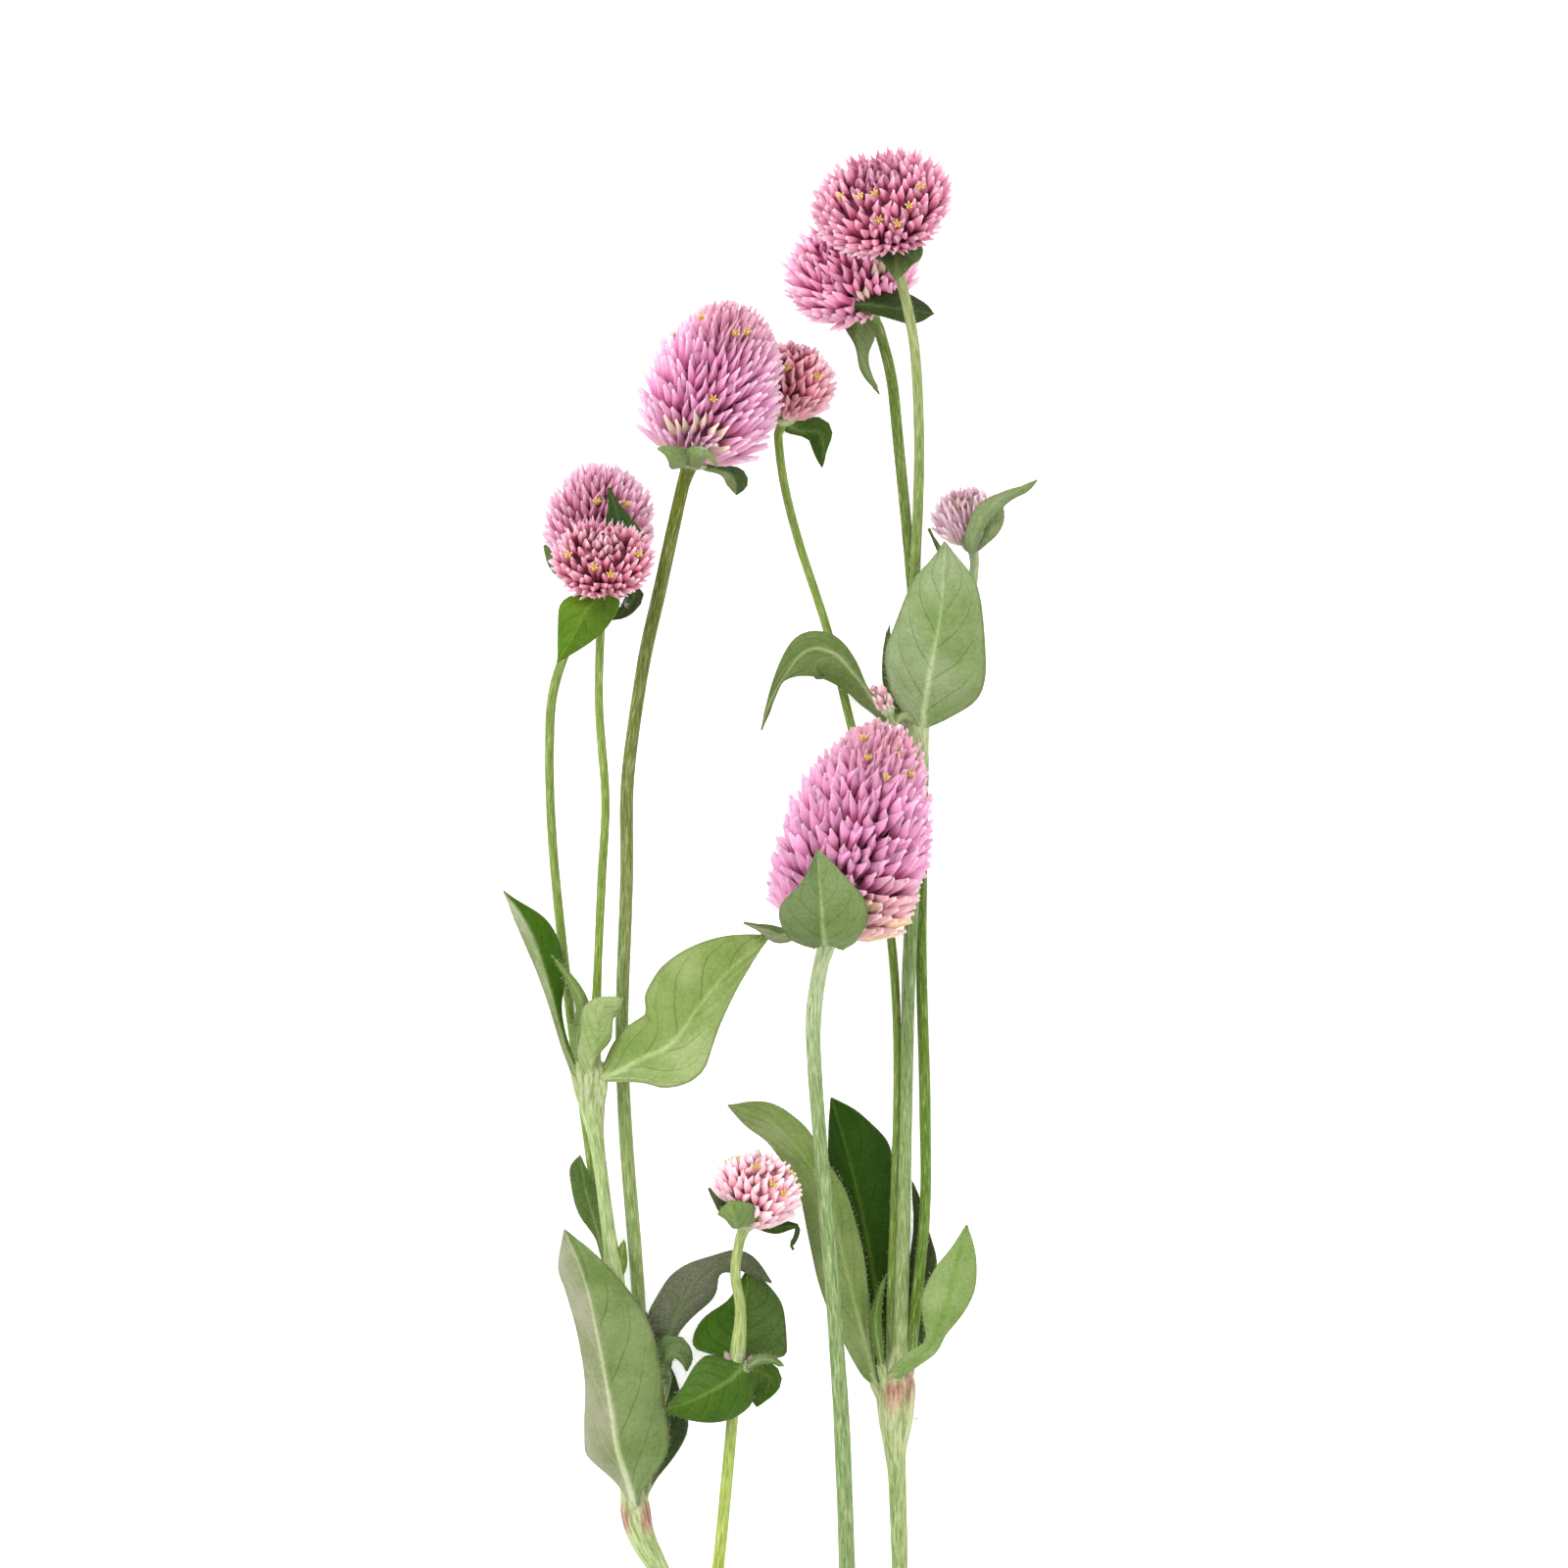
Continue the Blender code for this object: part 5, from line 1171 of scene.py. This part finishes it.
def make_floret_material():
    """Papery bracteoles: fine lengthwise grain, soft sheen and a little light through them."""
    paper = Finish("floret_paper", Specular_IOR_Level=0.25, Subsurface_Weight=0.4,
                   Subsurface_Radius=(1.0, 0.6, 0.8), Subsurface_Scale=0.0015)
    stretched = paper.add("Mapping", paper.read("Vector", "wrap"), Scale=(6, 6, 0.9))[0]
    grain = paper.clouds(stretched, 3, 3)
    aged = paper.in_range(paper.clouds(paper.object_place(), 420, 3), 0.58, 0.75, 0, 0.3)
    colour = paper.mix("MULTIPLY", paper.in_range(grain, 0.45, 0.65, 0, 0.4), paper.read("Color", "colour"),
                       (0.82, 0.62, 0.72, 1))
    paper.set("Base Color", paper.mix("MIX", aged, colour, (0.72, 0.5, 0.42, 1)))
    paper.set("Normal", paper.bump(grain, 0.4, 0.00015))
    return paper.material


def place_florets(name):
    """For each floret of a head its root, its tip, how far down the head it is, how much it belongs to the
    underside, and the way round, with the head's own random draws."""
    _, _, width, height, _ = HEADS[name]
    count, lean, skirt, lowest, _, _ = FLORETS[name]
    skirt, lowest = math.radians(skirt), math.radians(lowest)
    draw = random.Random(name)
    depth = (1 - CORE_SHARE) * width / 2
    rise = depth / math.tan(math.radians(lean - 6)) / (height / 2)
    for number in range(count):
        polar = math.acos(1 - 2 * ((number + 0.5) / count) ** CROWDING)
        around = number * GOLDEN_ANGLE
        if polar > lowest:
            break
        under = smoothly(skirt, lowest, polar)
        short = smoothly(math.radians(52), math.radians(20), polar) if height < FLAT * width else 0
        up = rise * (0.25 + 0.75 * math.sin(min(polar, math.pi / 2))) * draw.uniform(0.85, 1.15)
        up *= 1 - 0.8 * short
        root = head_point(name, min(polar + up, math.radians(165)), around, -0.1 + 0.4 * short)
        by_collar = Vector((math.cos(around) * width * 0.12, math.sin(around) * width * 0.12, -height * 0.44))
        root = root.lerp(by_collar, 0.92 * under)
        around += draw.gauss(0, 0.06) / max(0.3, math.sin(polar))
        tip = head_point(name, polar * draw.gauss(1, 0.03), around, min(1.12, draw.gauss(0.96, 0.07)))
        yield root, tip, polar, under, around, draw


def pressed_back(spots, bracts):
    """How far a floret must move down for its spots to lie behind any bract in front of them."""
    back = 0.0
    for bract in bracts:
        for spot in spots:
            touch = bract.ray_cast(Vector((spot.x * MM, spot.y * MM, 1)), Vector((0, 0, -1)))[0]
            back = max(back, spot.z + PRESSED_GAP - touch.z / MM if touch else 0.0)
    return min(back, MOST_PRESSED)


def nearest(places, tips):
    """The number of the floret whose tip, on the upper side of its head, is nearest each place."""
    return {min(tips, key=lambda number: (tips[number].xy - Vector(place)).length) for place in places}


def add_copy(work, mesh):
    """Add a copy of a mesh to the one under construction, and return its vertices."""
    start = len(work.verts)
    work.from_mesh(mesh)
    work.verts.ensure_lookup_table()
    return work.verts[start:]


floret_mesh, star_mesh = make_floret(), make_star()
floret_material = make_floret_material()
for name, (_, _, width, height, _) in HEADS.items():
    middle, turn = head_axes(name)
    count, _, _, _, cleft_length, half_width = FLORETS[name]
    base, body, tip_colour, crown = (linear(shade) for shade in FLORET_COLOURS[name])
    head_work = new_work()
    wrap, colour = value_layers(head_work)
    spacing = math.sqrt(math.pi * width * height / count)
    seen = {number: middle + turn @ place[1] for number, place in enumerate(place_florets(name))
            if (turn @ place[1]).z > -1}
    pale, flowering = (nearest(spots.get(name, []), seen) for spots in (PALE_FLORETS, OPEN_FLOWERS))
    faded_middle, faded_reach = FADED.get(name, NOWHERE)
    stars = []
    for number, (root, tip, polar, under, around, draw) in enumerate(place_florets(name)):
        if (middle + turn @ tip).z < 0.6:
            tip = root.lerp(tip, 0.6)
        length = (tip - root).length
        direction = (tip - root).normalized()
        side = Vector((-math.sin(around), math.cos(around), 0))
        side = (side - direction * side.dot(direction)).normalized()
        outward = side.cross(direction)
        young = smoothly(math.radians(34), math.radians(10), polar) * (1 if height < FLAT * width else 0.4)
        topmost = 0.7 * young
        if height > 1.1 * width:
            topmost = 0.75 * smoothly(math.radians(62), math.radians(24), polar)
        across = spacing * half_width * draw.uniform(0.85, 1.15) * (1 - 0.25 * young) * (1 - 0.12 * under)
        deep = spacing * 0.5 * (1 - 0.1 * young)
        cleft = min(0.6, cleft_length * spacing * draw.uniform(0.8, 1.3) * (1 + 0.5 * under) / length)
        parting = draw.uniform(-0.2, 0.4) - 0.2 * under
        curl = (0.04 - 0.1 * under - 0.08 * young + draw.uniform(-0.05, 0.05)) * length
        shade = 1 + 0.15 * draw.uniform(-1, 1)
        far = ((middle + turn @ tip).xy - Vector(faded_middle)).length
        faded = smoothly(faded_reach, 0.3 * faded_reach, far) * draw.uniform(0.3, 1.1)
        faded_to = linear(STRAW)
        if number in pale:
            faded, faded_to = 1.0, linear(CREAM)
        if number in flowering:
            parting = 0.3
            stars.append((root + direction * length * 0.84 + outward * (curl * 0.7 + 0.2), direction))
        spots = [middle + turn @ (root + direction * length * far) for far in (0.7, 1)]
        back = Vector((0, 0, pressed_back(spots, pressing.get(name, []))))
        for vert in add_copy(head_work, floret_mesh):
            x, y, t = vert.co
            opened = max(0.0, 2 * t - 1)
            far = (1 - cleft) * min(1, 2 * t) + cleft * opened
            wide = x * (1 + parting * opened)
            wide += (0.85 * x * math.sqrt(1 - opened ** 2) - wide) * young
            spot = root + side * across * wide + outward * (y * deep + curl * far * far)
            spot = middle + turn @ (spot + direction * far * length) - back * far
            spot.z = max(spot.z, 0.1)
            vert.co = spot * MM
            # Towards its root each floret takes the base colour: partly a deeper pink, partly painted shade
            # deep between the florets.
            pinkness = blend(blend(base, linear(CREAM), 0.6 * under), body, smoothly(0.3, 0.7, far))
            tipped = smoothly(0.1, 0.95, opened) * (1 - 0.6 * young)
            tinted = blend(blend(blend(pinkness, tip_colour, tipped), crown, topmost * far),
                           faded_to, faded * smoothly(0.2, 0.6, far))
            vert[colour] = (*(min(0.95, part * shade * FLORET_GLOW) for part in tinted), 1)
            vert[wrap] = (x + number, y, far)
    for spot, direction in stars:
        facing = direction.to_track_quat("Z", "Y").to_matrix()
        for vert in add_copy(head_work, star_mesh):
            yellow = blend(*(linear(shade) for shade in STAR_COLOURS), 1.3 * vert.co.xy.length)
            vert[colour] = (*yellow, 1)
            vert[wrap] = (*vert.co.xy, 0.5)
            vert.co = (middle + turn @ (spot + facing @ vert.co * STAR_RADIUS)) * MM
    # The core: the florets' base pink darkened towards black, a dark body that stands for the shade between
    # the florets (painted shade).
    for vert in bmesh.ops.create_uvsphere(head_work, u_segments=32, v_segments=20, radius=1)["verts"]:
        polar = math.acos(max(-1, min(1, vert.co.z)))
        inside = -0.2 - 1.1 * smoothly(math.radians(70), math.radians(125), polar)
        inside += 0.45 * smoothly(math.radians(60), math.radians(25), polar) if height < FLAT * width else 0
        spot = middle + turn @ head_point(name, polar, math.atan2(vert.co.y, vert.co.x), inside)
        vert.co = spot * MM
        vert[colour] = (*blend(base, (0, 0, 0), 0.3), 1)
        vert[wrap] = (0, 0, polar)
    head = finish_piece(head_work, f"head_{name}_florets", floret_material, sharp=50,
                        outward=False)
    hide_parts("head_" + name)


# Axil buds. Two tiny, woolly, pale pink heads still in bud sit in the leaf axils of the middle node. Each
# is a few closed pairs of papery bracteoles, and is given by its foot, its axis and its length.
AXIL_BUDS = [((-7.2, -46.6, 12.8), (-0.35, 0.8, 0.5), 3.2), ((-4.2, -46.8, 12.6), (0.35, 0.85, 0.4), 2.4)]
AXIL_BUD_COLOURS = (190, 136, 140), (240, 214, 210)
bud_work = new_work()
wrap, colour = value_layers(bud_work)
for foot, axis, size in AXIL_BUDS:
    facing = Vector(axis).to_track_quat("Z", "Y").to_matrix()
    for number in range(7):
        around = Matrix.Rotation(number * GOLDEN_ANGLE, 3, "Z") @ Matrix.Rotation(0.04 * number, 3, "X")
        for vert in add_copy(bud_work, floret_mesh):
            x, y, t = vert.co
            inward = 1 - 0.6 * max(0, 2 * t - 1)
            spot = around @ Vector((0.24 * x * inward, 0.24 * y + 0.025 * number, t * (1 - 0.04 * number)))
            vert.co = (Vector(foot) + facing @ spot * size) * MM
            vert[colour] = (*blend(*(linear(shade) for shade in AXIL_BUD_COLOURS), t), 1)
            vert[wrap] = (x + number, y, t)
finish_piece(bud_work, "axil_buds", floret_material, sharp=50, outward=False)


# Down. Soft pale hairs stand on the stems and along the margins of leaves and bracts, and tufts of wool sit
# beside two collars and in two leaf axils. Each hair is a tiny three-sided cone.
HAIR_RADIUS = 0.04
STEM_HAIRS = 3600
HAIRS_TOGETHER = 300
# Rings further apart than this belong to two different stems.
SAME_STEM = 3
# The middle of each tuft, how many hairs it has and how long they are.
TUFTS = [((-26.8, 92.6, 23.4), 24, 1.5), ((-12, 121, 31.6), 30, 1), ((26.5, -57, 10.4), 50, 1.2),
         ((-5.6, -45, 14.6), 50, 1.1)]
STEM_DOWN, MARGIN_DOWN, WOOL = (linear(c) for c in ((206, 214, 176), (190, 198, 158), (230, 226, 212)))


def add_hair(work, foot, direction, length, shade):
    """One hair from its foot, tapering to its tip."""
    facing = direction.to_track_quat("Z", "Y").to_matrix()
    wrap, colour = value_layers(work)
    for vert in bmesh.ops.create_cone(work, segments=3, radius1=1, radius2=0, depth=1)["verts"]:
        x, y, z = vert.co
        spot = foot + facing @ Vector((x * HAIR_RADIUS, y * HAIR_RADIUS, (z + 0.5) * length))
        spot.z = max(spot.z, 0.05)
        vert.co = spot * MM
        vert[colour] = (*shade, 1)
        vert[wrap] = (x, y, z)


def make_down_material():
    """Pale, slightly see-through hairs with a soft sheen."""
    down = Finish("down_hairs", Subsurface_Weight=0.3, Subsurface_Radius=(1, 1, 0.8), Subsurface_Scale=0.0003)
    patches = down.in_range(down.clouds(down.object_place(), 300, 2), 0.4, 0.6, 0, 0.4)
    down.set("Base Color", down.mix("MULTIPLY", patches, down.read("Color", "colour"), (0.8, 0.85, 0.65, 1)))
    return down.material


def finish_down(hairs, name):
    """Make all hairs of a piece, a few hundred at a time."""
    whole = new_work()
    for first in range(0, len(hairs), HAIRS_TOGETHER):
        batch = new_work()
        for hair in hairs[first:first + HAIRS_TOGETHER]:
            add_hair(batch, *hair)
        mesh = as_mesh(batch, "hairs")
        whole.from_mesh(mesh)
        bpy.data.meshes.remove(mesh)
    finish_piece(whole, name, down_material, outward=False)


down_material = make_down_material()
draw = random.Random("down")
stem_hairs, leaf_hairs = [], []
for _ in range(STEM_HAIRS):
    before = draw.randrange(len(stem_rings) - 1)
    ring, after = stem_rings[before], stem_rings[before + 1]
    ahead = (after - ring).xyz.normalized()
    side = Matrix.Rotation(draw.uniform(0, math.tau), 3, ahead) @ ahead.orthogonal().normalized()
    foot = ring.xyz.lerp(after.xyz, draw.random()) if (after - ring).xyz.length < SAME_STEM else ring.xyz
    foot += side * (ring.w * 0.97)
    if foot.z > 0.3:
        stem_hairs.append((foot, side + ahead * draw.uniform(0.3, 1.2), draw.uniform(0.3, 0.75), STEM_DOWN))
for foot, away in margins:
    for _ in range(2):
        jitter = Vector([draw.uniform(-0.4, 0.4) for _ in range(3)])
        leaf_hairs.append((foot + jitter * 0.8, away + jitter, draw.uniform(0.3, 0.8), MARGIN_DOWN))
for middle, count, length in TUFTS:
    for _ in range(count):
        away = Vector([draw.gauss(0, 1) for _ in range(3)]).normalized()
        away.z = abs(away.z) * 0.5
        leaf_hairs.append((Vector(middle) + away * 0.4, away, draw.uniform(0.5, 1) * length, WOOL))
finish_down(stem_hairs, "down_on_stems")
finish_down(leaf_hairs, "down_on_leaves")


# Stage. A plain pale floor that the spray lies on, soft light from the upper left and all round, and a
# camera three metres straight above with a long lens.
CAMERA_HEIGHT = 3
VIEW_WIDTH = 0.288
VIEW_MIDDLE = (2.52, 59.58)
SENSOR = 36
floor_work = bmesh.new()
bmesh.ops.create_grid(floor_work, x_segments=1, y_segments=1, size=3)
paper = Finish("floor_paper", Roughness=0.9, Base_Color=(0.97, 0.97, 0.97, 1), Specular_IOR_Level=0.1,
               Emission_Color=(1, 1, 1, 1), Emission_Strength=0.45)
floor = add_object("floor", as_mesh(floor_work, "floor"), paper.material)

world = bpy.data.worlds.new("studio")
world.use_nodes = True
world.node_tree.nodes["Background"].inputs[0].default_value = (1, 1, 1, 1)
world.node_tree.nodes["Background"].inputs[1].default_value = 1.4
bpy.context.scene.world = world


def add_light(name, place, aim, size, power):
    """A soft square lamp at place, facing aim."""
    light = bpy.data.lights.new(name, "AREA")
    light.size = size
    light.energy = power
    lamp = bpy.data.objects.new(name, light)
    lamp.location = place
    lamp.rotation_euler = (Vector(aim) - Vector(place)).to_track_quat("-Z", "Y").to_euler()
    bpy.context.scene.collection.objects.link(lamp)


add_light("softbox_upper_left", (-1.1, 1.3, 1.7), (0, 0, 0), 1.2, 42)
add_light("softbox_right", (1.5, -0.6, 1.4), (0, 0, 0), 1.0, 8)

camera_data = bpy.data.cameras.new("camera")
camera_data.sensor_width = SENSOR
camera_data.lens = SENSOR * CAMERA_HEIGHT / VIEW_WIDTH
camera_data.clip_start = 0.1
camera_data.clip_end = 20
camera = bpy.data.objects.new("camera", camera_data)
camera.location = (VIEW_MIDDLE[0] * MM, VIEW_MIDDLE[1] * MM, CAMERA_HEIGHT)
bpy.context.scene.collection.objects.link(camera)
bpy.context.scene.camera = camera
bpy.context.scene.view_settings.view_transform = "Standard"
